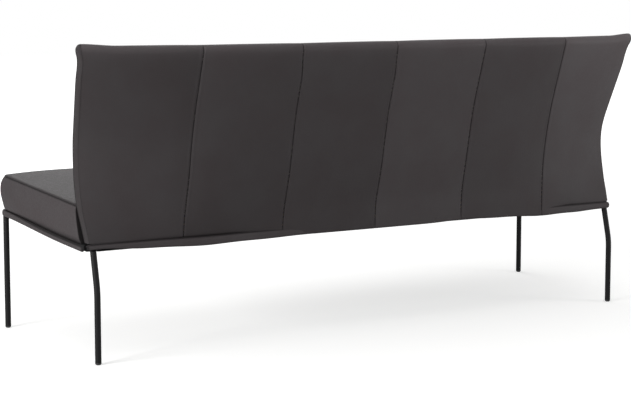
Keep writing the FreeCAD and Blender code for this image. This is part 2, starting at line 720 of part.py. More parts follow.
def roll(angle, radius):
    """Forward step and drop of a quarter round that starts level."""
    turn = math.radians(angle)
    return radius * math.sin(turn), radius * (1 - math.cos(turn))


def seat_section(inner, outer, forward, under, over, crown):
    """Across the seat: a flat underside, two short edges and one arc for the crown."""
    middle = (inner + outer) / 2
    if crown:
        upper = arc(
            seat_point(outer, forward, over), seat_point(middle, forward, over + crown),
            seat_point(inner, forward, over),
        )
    else:
        upper = line(seat_point(outer, forward, over), seat_point(inner, forward, over))
    return Part.Wire([
        line(seat_point(inner, forward, under), seat_point(outer, forward, under)),
        line(seat_point(outer, forward, under), seat_point(outer, forward, over)),
        upper,
        line(seat_point(inner, forward, over), seat_point(inner, forward, under)),
    ])


# The foam block is drawn forward at its rear corners, under the wings, and rounded in front.
FOAM_EDGE = EDGE + size["side_groove"] - PAD_INSET
foam_sections = []
for forward, inset in (
    (size["seat_rear_place"], None), (size["seat_corner_place"], PAD_INSET), (ROLL_START, PAD_INSET),
):
    reach = REAR_SEAM if inset is None else half_width(forward) - inset
    foam_sections.append((reach, forward, seam_rise(forward) - GAP))
for angle in (45, 90):
    step, drop = roll(angle, FOAM_EDGE)
    forward = ROLL_START + step
    foam_sections.append((
        half_width(forward) - PAD_INSET - drop, forward, seam_rise(ROLL_START) - step - GAP,
    ))
foam = ruled("seat_foam_block", [
    seat_section(-reach, reach, forward, FELT_HEAD + GAP, over, 0)
    for reach, forward, over in foam_sections
])
finish(foam, "seat_foam", SEAT_PLACE)

# Each top panel is drawn in at its seams, crowned between them and rolled over the front edge.
# Shares of the run to the front edge, with the share of the full crown at each.
CROWN_SHARES = ((0, 0.35), (0.15, 0.85), (0.5, 1), (1, 0.85))
REAR_CROWN_SHARE = 0.5
ROLL_ANGLES = (30, 60, 90)


def top_panel(name, side_of):
    """side_of gives the two sides of the panel at a place and with a drop at the front."""
    sections = []
    first = size["seat_rear_place"]
    places = [(first + share * (ROLL_START - first), crown) for share, crown in CROWN_SHARES]
    places.insert(1, (size["seat_corner_place"], REAR_CROWN_SHARE))
    for forward, crown_share in places:
        inner, outer = side_of(forward, 0)
        under = seam_rise(forward)
        over = under + size["seat_edge_height"]
        crown = size["seat_crown"] * crown_share
        sections.append(seat_section(inner, outer, forward, under, over, crown))
    last_share = CROWN_SHARES[-1][1]
    for angle in ROLL_ANGLES:
        step, drop = roll(angle, EDGE)
        forward = ROLL_START + step
        inner, outer = side_of(forward, drop)
        under = seam_rise(ROLL_START) - step
        over = seam_rise(ROLL_START) + size["seat_edge_height"] - drop
        crown = size["seat_crown"] * last_share * (1 - drop / EDGE) + GAP
        sections.append(seat_section(inner, outer, forward, under, over, crown))
    return ruled(name, sections)


def middle_sides(forward, drop):
    reach = size["seat_seam_place"] - GAP / 2
    return -reach, reach


def end_sides(side):
    def sides(forward, drop):
        near = size["seat_seam_place"] + GAP / 2
        if forward < size["seat_corner_place"]:
            far = REAR_SEAM
        else:
            far = half_width(forward) - size["side_groove"] - drop
        return tuple(sorted((side * near, side * far)))
    return sides


finish(top_panel("middle_top", middle_sides), "seat_top_middle", SEAT_PLACE)
for side_name, side in SIDES:
    finish(top_panel(side_name + "_top", end_sides(side)), f"seat_top_{side_name}", SEAT_PLACE)

# The walls of the seat bulge between the seam at the top and a groove over the base band.
WALL_FOOT = FRAME_HEAD + size["side_groove"] / 2


def wall_section(place_of, top):
    """place_of turns an inset from the outside and a share of the height into a point of the plan."""
    inner = size["seat_wall"]
    edge = size["side_groove"]
    bulge = edge - size["side_crown"]
    spots = [
        (inner, WALL_FOOT), (edge, WALL_FOOT), (bulge, (WALL_FOOT + top) / 2), (edge, top), (inner, top),
    ]
    rise = top - WALL_FOOT
    points = [seat_point(*place_of(inset, (up - WALL_FOOT) / rise), up) for inset, up in spots]
    return Part.Wire([
        line(points[0], points[1]), arc(points[1], points[2], points[3]),
        line(points[3], points[4]), line(points[4], points[0]),
    ])


for side_name, side in SIDES:
    sections = []
    for foot, head in (
        (size["seat_side_foot_place"], size["seat_corner_place"]), (ROLL_START - GAP, ROLL_START - GAP),
    ):
        def straight_place(inset, rise, foot=foot, head=head, side=side):
            forward = foot + rise * (head - foot)
            return side * (half_width(forward) - inset), forward
        sections.append(wall_section(straight_place, seam_rise(head) - GAP))
    finish(ruled(side_name + "_wall", sections), f"seat_side_{side_name}", SEAT_PLACE)

CORNER_ANGLES = (0, 30, 60, 90)
CORNER_ACROSS = half_width(size["base_depth"]) - size["side_groove"] - EDGE
sections = []
for side in (-1, 1):
    turns = []
    for angle in CORNER_ANGLES:
        turn = math.radians(angle)

        def corner_place(inset, rise, turn=turn, side=side):
            reach = EDGE + size["side_groove"] - inset
            return side * (CORNER_ACROSS + reach * math.cos(turn)), ROLL_START + reach * math.sin(turn)
        top = seam_rise(ROLL_START) - EDGE * math.sin(turn) - GAP
        turns.append(wall_section(corner_place, top))
    sections += turns if side < 0 else turns[::-1]
finish(ruled("front_wall", sections), "seat_front", SEAT_PLACE)


# Back: a leaning middle between wings that sweep forward, each height with its own plan.
RIM = size["back_rim_radius"]
WING_TURN = size["wing_bow_height"] + size["wing_bow_radius"] * math.sin(math.radians(size["wing_upper_lean"]))


def bow(height):
    radius = size["wing_bow_radius"]
    return size["wing_bow_depth"] - radius + math.sqrt(radius ** 2 - (height - size["wing_bow_height"]) ** 2)


def edge_depth(height):
    """Depth of the rear surface at the end of a wing: a bow and then a straight."""
    if height <= WING_TURN:
        return bow(height)
    return bow(WING_TURN) - (height - WING_TURN) * LEAN_WING


def rim_inset(height):
    """How far the rounded top edge lies inside the face."""
    rise = max(height - RIM_START, 0)
    return RIM - math.sqrt(RIM ** 2 - rise ** 2)


def half_back(height):
    rise = (height - size["back_foot_height"]) / (size["back_height"] - size["back_foot_height"])
    wide = size["back_foot_width"] + rise * (size["back_top_width"] - size["back_foot_width"])
    return wide / 2 - rim_inset(height) * size["back_end_thickness"] / size["back_top_thickness"]


def wing_share(across, height):
    reach = (abs(across) - size["wing_start"]) / (half_back(height) - size["wing_start"])
    return max(reach, 0) ** 2


def rear_depth(across, height):
    middle = middle_depth(height)
    return middle + wing_share(across, height) * (edge_depth(height) - middle)


def thickness(across, height):
    rise = (height - size["back_foot_height"]) / (size["back_height"] - size["back_foot_height"])
    middle = size["back_foot_thickness"] + rise * (size["back_top_thickness"] - size["back_foot_thickness"])
    return middle + wing_share(across, height) * (size["back_end_thickness"] - middle)


PANEL = size["back_panel_width"]


def knots(height):
    """Seams and middles of the three panels of one side, from the centre outwards."""
    last = half_back(height) - size["back_border"]
    return [0, PANEL / 2, PANEL, PANEL * 3 / 2, PANEL * 2, PANEL + last / 2, last]


def chord_depth(across, height):
    """Depth of the flats that join the seams and middles of the panels."""
    places = knots(height)
    reach = abs(across)
    number = max(k for k in range(len(places) - 1) if places[k] <= reach or k == 0)
    near, far = places[number], places[number + 1]
    share = (reach - near) / (far - near)
    return rear_depth(near, height) * (1 - share) + rear_depth(far, height) * share


def heights(foot, shares):
    """Stations from the foot to the top, with one at the bend of the back."""
    bend = size["back_bend_height"]
    return sorted({foot + share * (RIM_START - foot) for share in shares} | {bend})


RIM_HEIGHTS = [RIM_START + size["back_rim_step"]] + [RIM_START + roll(angle, RIM)[0] for angle in ROLL_ANGLES]
REAR_SHARES = (0, 0.07, 0.14, 0.21, 0.28, 0.35, 0.42, 0.49, 0.57, 1)
FRONT_SHARES = (0, 0.08, 0.16, 0.24, 0.32, 0.4, 0.46, 0.52, 1)


def panel_outline(near, far, height, outer, inner, crown):
    """outer and inner give the offsets of the two faces from the rear surface of the back."""
    middle = (near + far) / 2

    def spot(across, offset):
        return at(across, rear_depth(across, height) + offset(across, height), height)

    bulge = at(middle, rear_depth(middle, height) + outer(middle, height) + crown, height)
    ends = [spot(near, inner), spot(middle, inner), spot(far, inner)]
    return Part.Wire([
        arc(spot(near, outer), bulge, spot(far, outer)), line(spot(far, outer), ends[2]),
        line(ends[2], ends[1]), line(ends[1], ends[0]), line(ends[0], spot(near, outer)),
    ])


def rear_outer(across, height):
    return rim_inset(height)


def rear_inner(across, height):
    if height > RIM_START:
        return thickness(across, height) / 2 - GAP / 2
    return size["back_skin"]


def front_outer(across, height):
    return thickness(across, height) - rim_inset(height)


def front_inner(across, height):
    if height > RIM_START:
        return thickness(across, height) / 2 + GAP / 2
    return thickness(across, height) - size["back_skin"]


FOOT_FULLNESS_SHARE = 0.3
RIM_FULLNESS_SHARE = 0.5
FILLING_SHARE = 0.1


def crown_share(height, foot):
    """Fullness of a panel: little at its foot, full from a tenth up and less over the rim."""
    rise = (height - foot) / (size["back_height"] - foot)
    filled = min(rise / FILLING_SHARE, 1)
    fullness = FOOT_FULLNESS_SHARE + (1 - FOOT_FULLNESS_SHARE) * filled
    return fullness * (1 - RIM_FULLNESS_SHARE * rim_inset(height) / RIM)


def back_panel(name, number, stations, outer, inner, crown):
    """number counts the panels from the left, without a zero in the middle."""
    side = 1 if number > 0 else -1
    sections = []
    for height in stations:
        places = knots(height)
        near = places[2 * abs(number) - 2] + GAP / 2
        far = places[2 * abs(number)] - GAP / 2
        fullness = crown * crown_share(height, stations[0])
        sections.append(panel_outline(side * near, side * far, height, outer, inner, fullness))
    return ruled(name, sections)


PANEL_NUMBERS = (-3, -2, -1, 1, 2, 3)
REAR_STATIONS = heights(size["back_foot_height"], REAR_SHARES) + RIM_HEIGHTS
FRONT_STATIONS = heights(size["front_leather_foot"], FRONT_SHARES) + RIM_HEIGHTS
for order, number in enumerate(PANEL_NUMBERS, 1):
    rear = back_panel(f"rear_{order}", number, REAR_STATIONS, rear_outer, rear_inner, -size["back_rear_crown"])
    finish(rear, f"back_rear_panel_{order}")
    front = back_panel(
        f"front_{order}", number, FRONT_STATIONS, front_outer, front_inner, size["back_front_crown"],
    )
    finish(front, f"back_front_panel_{order}")

BORDER_EASE_SHARE = 0.01
for side_name, side in SIDES:
    sections = []
    for height in REAR_STATIONS:
        end = half_back(height)
        root = end - size["back_border"] + GAP / 2
        seam = end - size["back_border_crown"]
        depth = thickness(end, height)
        inset = rim_inset(height)
        rear_edge_depth = inset + depth * BORDER_EASE_SHARE
        front_edge_depth = depth - rear_edge_depth
        bulge = size["back_border_crown"] * (front_edge_depth - rear_edge_depth) / depth

        def spot(across, offset, height=height, side=side):
            return at(side * across, rear_depth(across, height) + offset, height)

        spots = [
            spot(root, inset), spot(seam, rear_edge_depth), spot(seam + bulge, depth / 2),
            spot(seam, front_edge_depth), spot(root, depth - inset),
        ]
        sections.append(Part.Wire([
            line(spots[0], spots[1]), arc(spots[1], spots[2], spots[3]),
            line(spots[3], spots[4]), line(spots[4], spots[0]),
        ]))
    finish(ruled(side_name + "_border", sections), f"back_border_{side_name}")

# Inside the back: foam in front, uprights behind it, and belts and curved plates between them.
PAD_REAR = size["back_skin"] + size["back_tube_gap"] + size["back_tube"] + size["back_strap_room"]


def sheet_outline(places, height, rear, front):
    """A closed outline between two offsets, through the given places from end to end."""
    back_line = [at(across, rear(across, height), height) for across in places]
    front_line = [at(across, front(across, height), height) for across in reversed(places)]
    outline = back_line + front_line
    return Part.makePolygon(outline + outline[:1])


def pad_rear(across, height):
    return chord_depth(across, height) + PAD_REAR


def pad_front(across, height):
    return chord_depth(across, height) + thickness(across, height) - size["back_skin"] - GAP


pad_outlines = []
for height in heights(size["front_leather_foot"], FRONT_SHARES):
    top = height if height < RIM_START else RIM_START - GAP
    outward = knots(height)
    outward[-1] -= GAP
    places = [-place for place in reversed(outward[1:])] + outward
    outline = sheet_outline(places, height, pad_rear, pad_front)
    outline.translate(FreeCAD.Vector(0, 0, top - height))
    pad_outlines.append(outline)
finish(ruled("back_pad", pad_outlines), "back_foam")

# Square steel uprights stand on the rear rail of the base and carry the tube along the top.
TUBE_OFFSET = size["back_skin"] + size["back_tube_gap"] + size["back_tube"] / 2
TUBE_OFFSET += size["back_skin"] * (1 / math.cos(math.radians(size["back_upper_lean"])) - 1)
RAIL_TOP = size["band_wall"] + size["frame_tube"]
TUBE_TOP = RIM_START - size["back_tube"]
FOOT_OVERRUN = size["back_tube"]
UPRIGHT_FOOT = size["base_rear_height"] + RAIL_TOP
ROOM = size["trim_room"]


# Blocks under the rail's top and over the top tube's underside trim the uprights.
foot_trim = doc.addObject("Part::Box", "upright_foot_trim")
bind_all(foot_trim, {"Length": "base_front_width", "Width": "base_depth", "Height": "trim_room"})
foot_corner = seat_point(-size["base_front_width"] / 2, size["base_depth"] / 2, RAIL_TOP - ROOM)
foot_trim.Placement = SEAT_PLACE.multiply(FreeCAD.Placement(foot_corner, FreeCAD.Rotation()))
head_trim = doc.addObject("Part::Box", "upright_head_trim")
bind_all(head_trim, {"Length": "base_front_width", "Width": "base_depth", "Height": "trim_room"})
head_foot = TUBE_TOP - size["back_tube_side"] / 2 - GAP / 2
head_corner = at(-size["base_front_width"] / 2, size["base_depth"] / 2, head_foot)
head_trim.Placement = FreeCAD.Placement(head_corner, FreeCAD.Rotation())
trims = group("upright_trims", [foot_trim, head_trim])

LOW_LEAN = math.radians(size["back_lower_lean"])
TURN = size["back_upper_lean"] - size["back_lower_lean"]
BEND_TANGENT = size["upright_bend_radius"] * math.tan(math.radians(TURN / 2))
FOOT_START = UPRIGHT_FOOT - FOOT_OVERRUN
LOWER_STRAIGHT = (size["back_bend_height"] - FOOT_START) / math.cos(LOW_LEAN) - BEND_TANGENT
UPPER_STRAIGHT = (RIM_START - size["back_bend_height"]) - BEND_TANGENT
LOWER_STRAIGHT_FORMULA = (
    "(back_bend_height - base_rear_height - band_wall - frame_tube + back_tube) / cos(back_lower_lean)"
    " - upright_bend_radius * tan((back_upper_lean - back_lower_lean) / 2)"
)
UPPER_STRAIGHT_FORMULA = (
    "back_height - back_rim_radius - back_bend_height"
    " - upright_bend_radius * tan((back_upper_lean - back_lower_lean) / 2)"
)
TURN_FORMULA = "back_upper_lean - back_lower_lean"
for name, across in (("left", -size["wing_start"]), ("middle", 0), ("right", size["wing_start"])):
    tube = bent_tube(
        f"{name}_upright_body", (LOWER_STRAIGHT, LOWER_STRAIGHT_FORMULA),
        (size["upright_bend_radius"], "upright_bend_radius"), (TURN, TURN_FORMULA),
        (UPPER_STRAIGHT, UPPER_STRAIGHT_FORMULA), 1,
        square_profile, "back_tube_side", "back_tube_wall",
    )
    foot = at(across, middle_depth(FOOT_START) + TUBE_OFFSET, FOOT_START)
    tube.Placement = FreeCAD.Placement(
        foot, FreeCAD.Rotation(FreeCAD.Vector(1, 0, 0), -size["back_lower_lean"])
    )
    finish(cut(f"{name}_upright", tube, trims), f"back_upright_{name}")

# The end uprights bow forward and then lean back, in planes that follow the ends of the wings.
def mirrored(name, source):
    """The other one of a pair, across the middle plane of the sofa."""
    copy = doc.addObject("Part::Mirroring", name)
    copy.Source = source
    copy.Normal = FreeCAD.Vector(1, 0, 0)
    return copy


def sweep(run, aside):
    """Radius and turn of an arc that starts along the run and ends aside of it."""
    radius = (run ** 2 + aside ** 2) / (2 * aside)
    return radius, math.degrees(math.atan2(run, radius - aside))


FLARE = math.atan(
    (size["back_top_width"] - size["back_foot_width"]) / 2 / (size["back_height"] - size["back_foot_height"])
)


def end_spot(height):
    """Depth and height of the axis of an end upright, measured in its own tipped plane."""
    across = half_back(height) - size["end_upright_inset"]
    return rear_depth(across, height) + TUBE_OFFSET, height / math.cos(FLARE)


foot_spot = end_spot(FOOT_START)
turn_spot = end_spot(WING_TURN)
head_spot = end_spot(RIM_START)
head_lean = math.atan2(turn_spot[0] - head_spot[0], head_spot[1] - turn_spot[1])
run_depth = foot_spot[0] - turn_spot[0]
run_height = turn_spot[1] - foot_spot[1]
along = run_height * math.cos(head_lean) + run_depth * math.sin(head_lean)
aside = run_height * math.sin(head_lean) - run_depth * math.cos(head_lean)
BOW_RADIUS, BOW_TURN = sweep(along, aside)
END_STRAIGHT = math.dist(turn_spot, head_spot)
end_tube = bent_tube(
    "end_upright_body", (FOOT_OVERRUN, "back_tube"), (BOW_RADIUS, str(BOW_RADIUS)),
    (BOW_TURN, str(BOW_TURN)), (END_STRAIGHT, str(END_STRAIGHT)), 1,
    square_profile, "back_tube_side", "back_tube_wall",
)
end_turn = FreeCAD.Rotation(FreeCAD.Vector(0, 1, 0), math.degrees(FLARE)).multiply(
    FreeCAD.Rotation(FreeCAD.Vector(1, 0, 0), BOW_TURN - math.degrees(head_lean))
)
end_foot = at(half_back(FOOT_START) - size["end_upright_inset"], foot_spot[0], FOOT_START)
below = end_turn.multVec(FreeCAD.Vector(0, 0, FOOT_OVERRUN))
end_tube.Placement = FreeCAD.Placement(end_foot - below, end_turn)
right_end = cut("right_end_upright", end_tube, trims)
finish(right_end, "back_upright_end_right")
finish(mirrored("left_end_upright", right_end), "back_upright_end_left")

# The tube along the top is straight over the middle and sweeps forward with the wings.
TIP = half_back(TUBE_TOP) - size["end_upright_inset"]
TIP_RUN = TIP - size["wing_start"]
TIP_RISE = rear_depth(TIP, TUBE_TOP) - rear_depth(0, TUBE_TOP)
SWEEP, SWEEP_TURN = sweep(TIP_RUN, TIP_RISE)
top_body = doc.addObject("PartDesign::Body", "right_top_tube")
top_ring = square_profile(top_body, "top_tube_section", "YZ_Plane", "back_tube_side", "back_tube_wall")
top_line = bent_line(
    top_body, "top_tube_line", "XY_Plane", (size["wing_start"], "wing_start"), (SWEEP, str(SWEEP)),
    (SWEEP_TURN, str(SWEEP_TURN)), (size["back_tube"] / 2, "back_tube / 2"), -1,
)
top_pipe = top_body.newObject("PartDesign::AdditivePipe", "top_tube_pipe")
top_pipe.Profile = top_ring
top_pipe.Spine = (top_line, ["Edge1", "Edge2", "Edge3"])
top_body.Placement = FreeCAD.Placement(
    at(0, rear_depth(0, TUBE_TOP) + TUBE_OFFSET, TUBE_TOP), FreeCAD.Rotation()
)
top_tube = doc.addObject("Part::Fuse", "top_tube")
top_tube.Base = top_body
top_tube.Tool = mirrored("left_top_tube", top_body)
top_tube.Refine = True
finish(top_tube, "back_top_tube")

# Curved steel plates on the front of the tubes give the wings their form under the foam.
PLATE_REAR = TUBE_OFFSET + size["back_tube"] / 2 / math.cos(math.radians(size["wing_upper_lean"]))
PLATE_REAR += size["wing_plate_gap"]


def plate_rear(across, height):
    return rear_depth(across, height) + PLATE_REAR


def plate_front(across, height):
    return chord_depth(across, height) + PAD_REAR - GAP


PLATE_TOP = TUBE_TOP - size["back_tube"]
PLATE_HEIGHTS = [height for height in FRONT_STATIONS[1:] if height < PLATE_TOP] + [PLATE_TOP]
for side_name, side in SIDES:
    outlines = []
    for height in PLATE_HEIGHTS:
        inner = size["wing_start"] + GAP
        outer = half_back(height) - size["wing_plate_margin"]
        stations = [place for place in knots(height) if inner < place < outer]
        stations = [inner] + stations + [outer]
        stations += [(a + b) / 2 for a, b in zip(stations, stations[1:])]
        places = [side * place for place in sorted(stations)]
        outlines.append(sheet_outline(places, height, plate_rear, plate_front))
    finish(ruled(side_name + "_plate", outlines), f"back_wing_plate_{side_name}")

# Belts across the middle, on the front of the uprights and clear of their bend.
BELT_OUT = size["back_tube"] / 2 + size["screw_gap"]
back_belts = []
belt_foot = size["back_strap_start"]
number = 0
while belt_foot + size["back_strap_width"] < PLATE_TOP:
    lean = size["back_lower_lean"] if belt_foot < size["back_bend_height"] else size["back_upper_lean"]
    turn = math.radians(lean)
    belt = doc.addObject("Part::Box", f"back_belt_{number + 1}")
    bind_all(belt, {
        "Length": "2 * wing_start", "Width": "back_strap_thickness", "Height": "back_strap_width",
    })
    out = (BELT_OUT + size["back_strap_thickness"]) / math.cos(turn)
    corner = at(-size["wing_start"], middle_depth(belt_foot) + TUBE_OFFSET + out, belt_foot)
    belt.Placement = FreeCAD.Placement(corner, FreeCAD.Rotation(FreeCAD.Vector(1, 0, 0), -lean))
    back_belts.append(belt)
    number += 1
    belt_foot += size["back_strap_pitch"]
finish(group("back_belt_set", back_belts), "back_belts")

doc.recompute()
for thing in doc.Objects:
    if set(thing.State) & {"Invalid", "Error"}:
        raise RuntimeError(f"{thing.Name} did not build")
for thing in finished:
    shape = thing.Shape
    if shape.isNull() or not shape.isValid() or not shape.Solids:
        raise RuntimeError(f"{thing.Label} is not a valid solid")
    shape.exportStep(f"parts/{thing.Label}.step")
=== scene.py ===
from math import atan, cos, pi, radians, sin, sqrt, tan

import bpy
import numpy as np
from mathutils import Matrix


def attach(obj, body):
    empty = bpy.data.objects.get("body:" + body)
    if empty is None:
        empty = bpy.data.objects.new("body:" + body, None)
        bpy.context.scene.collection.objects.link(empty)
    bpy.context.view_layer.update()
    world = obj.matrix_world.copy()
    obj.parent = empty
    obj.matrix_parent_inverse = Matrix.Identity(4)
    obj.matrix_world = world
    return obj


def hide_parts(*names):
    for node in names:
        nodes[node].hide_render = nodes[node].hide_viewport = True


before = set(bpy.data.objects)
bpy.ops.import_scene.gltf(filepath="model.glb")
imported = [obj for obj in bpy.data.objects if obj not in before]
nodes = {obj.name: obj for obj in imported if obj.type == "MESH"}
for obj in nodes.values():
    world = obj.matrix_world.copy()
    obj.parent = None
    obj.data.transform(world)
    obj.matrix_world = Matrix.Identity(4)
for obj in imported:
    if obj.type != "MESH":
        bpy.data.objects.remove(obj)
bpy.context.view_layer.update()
scene = bpy.context.scene
print("frame:", len(nodes), "CAD nodes")

# Sizes of the CAD model that the upholstery needs, in mm and degrees.
# Depths run forward from the line through the rear feet, heights up from the floor.
base = {
    "rearWidth": 1854, "frontWidth": 2000, "depth": 598, "setback": 12,
    "rearHeight": 316, "frontHeight": 354, "bandHeight": 20,
}
back = {
    "height": 890, "footHeight": 340, "footDepth": 24, "bendHeight": 685,
    "lowerLean": 12.1, "upperLean": 19.2, "footWidth": 1844, "topWidth": 1932, "panelWidth": 319,
    "wingStart": 400, "bowRadius": 330, "bowHeight": 522, "bowDepth": 81, "wingLean": 21.5,
    "footThickness": 75, "topThickness": 50, "endThickness": 38, "rearCrown": 4,
    "rimRadius": 18, "frontFoot": 395,
}
# the angle of the seat's own frame, from the rise of the base over its depth
baseRise = base["frontHeight"] - base["rearHeight"]
baseSlope = atan(baseRise / base["depth"])
tilt = np.arctan2(sin(baseSlope), sqrt(1 - tan(baseSlope) ** 2))
lowerSlope, upperSlope = tan(radians(back["lowerLean"])), tan(radians(back["upperLean"]))


def middleDepth(height):
    # two leaning straights, eased into each other over a few centimetres
    ease = 22  # mm
    above = ease * np.logaddexp(0, (height - back["bendHeight"]) / ease)
    low = back["footDepth"] - (height - back["footHeight"]) * lowerSlope
    return low - above * (upperSlope - lowerSlope)


# the line of the rear feet, placed so that the sofa stands centred front to rear
frontReach = base["setback"] + sqrt(base["depth"] ** 2 - baseRise ** 2)
rearReach = back["rearCrown"] - back["footDepth"]
rearReach += (back["bendHeight"] - back["footHeight"]) * lowerSlope
rearReach += (back["height"] - back["rimRadius"] - back["bendHeight"]) * upperSlope
rearFootY = (frontReach - rearReach) / 2


def toRoom(across, depth, height):
    # millimetres of the sofa to metres of the room
    across, depth, height = np.broadcast_arrays(across, depth, height)
    return np.stack([across, rearFootY - depth, height], -1) * 0.001


def seatToRoom(across, forward, up):
    # the tipped frame of the seat: forward of its rear face and up from its underside
    depth = base["setback"] + forward * cos(tilt) - up * sin(tilt)
    height = base["rearHeight"] + forward * sin(tilt) + up * cos(tilt)
    return toRoom(across, depth, height)


def smoothStep(value, start, end):
    # 0 before start and 1 after end, level at both
    share = np.clip((value - start) / (end - start), 0, 1)
    return share * share * (3 - 2 * share)


def bell(distance, width, size=1):
    # a bell, for seams and ridges
    return size * np.exp(-((distance / width) ** 2))


def slowSway(look, across, along, seamGap, phases):
    # two crossed waves, as the unevenness of soft leather, fading out at the seams
    waves = np.sin(across / look["swayAcross"] + phases[0])
    waves = waves * np.sin(along / look["swayAlong"] + phases[1])
    return look["sway"] * waves * smoothStep(seamGap, 0, look["swayFree"])


def closeAtEnds(length, reach, fine, coarse):
    # shares of a length, in small steps near both ends and larger ones between
    near = reach * np.linspace(0, 1, fine) ** 1.5
    between = np.linspace(reach, length - reach, coarse)[1:-1]
    return np.concatenate([near, between, length - near[::-1]]) / length


def gridNormals(points):
    # cross product of the two directions of a grid, made one unit long
    normal = np.cross(np.gradient(points, axis=1), np.gradient(points, axis=0))
    size = np.linalg.norm(normal, axis=-1, keepdims=True)
    return normal / np.maximum(size, 1e-12)


sharpFrom = 48  # degrees; edges that turn more than this stay crisp


def addClosed(name, outer, inner, crease=0.0, tone=0.0):
    # two grids of the same make, one inside the other, joined along their rims
    rows, columns = outer.shape[:2]
    number = np.arange(rows * columns).reshape(rows, columns)
    quads = np.stack([number[:-1, :-1], number[:-1, 1:], number[1:, 1:], number[1:, :-1]], -1)
    quads = quads.reshape(-1, 4)
    rim = np.concatenate([number[0, :-1], number[:-1, -1], number[-1, :0:-1], number[:0:-1, 0]])
    ahead = np.roll(rim, -1)
    count = rows * columns
    strip = np.stack([ahead, rim, rim + count, ahead + count], -1)
    faces = np.concatenate([quads, quads[:, ::-1] + count, strip])
    points = np.concatenate([outer.reshape(-1, 3), inner.reshape(-1, 3)])
    mesh = bpy.data.meshes.new(name)
    mesh.vertices.add(len(points))
    mesh.vertices.foreach_set("co", points.astype(np.float32).ravel())
    mesh.loops.add(faces.size)
    mesh.loops.foreach_set("vertex_index", faces.astype(np.int32).ravel())
    mesh.polygons.add(len(faces))
    mesh.polygons.foreach_set("loop_start", np.arange(0, faces.size, 4, dtype=np.int32))
    mesh.polygons.foreach_set("use_smooth", np.ones(len(faces), bool))
    mesh.update(calc_edges=True)
    mesh.validate()
    mesh.set_sharp_from_angle(angle=radians(sharpFrom))
    # painted shade, and painted light with small random differences of the hide, kept on the points
    # for the leather
    for label, values in (("crease", crease), ("tone", tone)):
        values = np.broadcast_to(values, (rows, columns)).ravel()
        attribute = mesh.attributes.new(label, "FLOAT", "POINT")
        attribute.data.foreach_set("value", np.concatenate([values, values]).astype(np.float32))
    piece = bpy.data.objects.new(name, mesh)
    scene.collection.objects.link(piece)
    return piece


def finishPiece(piece, material, replaced):
    # gives a piece its finish, its body and the CAD node it stands for
    piece.data.materials.append(material)
    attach(piece, "root")
    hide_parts(replaced)


def addLeather(node, outer, thickness, crease, tone=0.0):
    # a skin of even thickness in mm inside its outer grid;
    # it stands for a CAD node and has that node's name, written as one word
    first, *others = node.split("_")
    name = first + "".join(word.title() for word in others)
    piece = addClosed(name, outer, outer - gridNormals(outer) * thickness * 0.001, crease, tone)
    finishPiece(piece, leather, node)


def sideName(side):
    return "left" if side < 0 else "right"


# Materials. Colours are sRGB hex values.
def hexColour(text):
    # the sRGB curve turned to linear light
    parts = [int(text[k:k + 2], 16) / 255 for k in (1, 3, 5)]
    return tuple(p / 12.92 if p <= 0.04045 else ((p + 0.055) / 1.055) ** 2.4 for p in parts) + (1.0,)


def addNode(material, kind, sockets, **options):
    # adds a shader node, sets its options and fills its sockets: a value stays on its socket,
    # an output is linked to it, and a node stands for its first output
    node = material.node_tree.nodes.new("ShaderNode" + kind)
    for name, value in options.items():
        setattr(node, name, value)
    for name, value in sockets.items():
        if isinstance(value, bpy.types.Node):
            value = value.outputs[0]
        if isinstance(value, bpy.types.NodeSocket):
            material.node_tree.links.new(value, node.inputs[name])
        else:
            node.inputs[name].default_value = value
    return node


def newMaterial(name):
    # a material with no shader yet, and the coordinates that its patterns follow
    material = bpy.data.materials.new(name)
    material.use_nodes = True
    material.node_tree.nodes.clear()
    return material, addNode(material, "TexCoord", {}).outputs["Object"]


def closeMaterial(material, settings):
    # ends a material in its surface and output; plain values stay on the surface's own sockets
    shader = addNode(material, "BsdfPrincipled", settings)
    addNode(material, "OutputMaterial", {"Surface": shader})
    return material


def paintAndRaise(material, share, colours, height, strength, depth):
    # mixes two colours by a pattern and raises the surface with it; the depth is in mm
    tint = addNode(material, "Mix", {
        0: share, 6: hexColour(colours[0]), 7: hexColour(colours[1])}, data_type="RGBA")
    bump = addNode(material, "Bump", {
        "Height": height, "Strength": strength, "Distance": depth * 0.001})
    return {"Base Color": tint.outputs[2], "Normal": bump}


# sizes and depths in mm
leatherLook = {
    "colours": ("#353132", "#373435"), "shadow": "#090808", "ior": 1.48, "specular": 0.085,
    "roughness": 0.6, "grainSize": 2.4, "wrinkleSize": 9.0, "cloudSize": 130.0,
    "wrinkleDepth": 1.2, "grainDepth": 0.25,
}


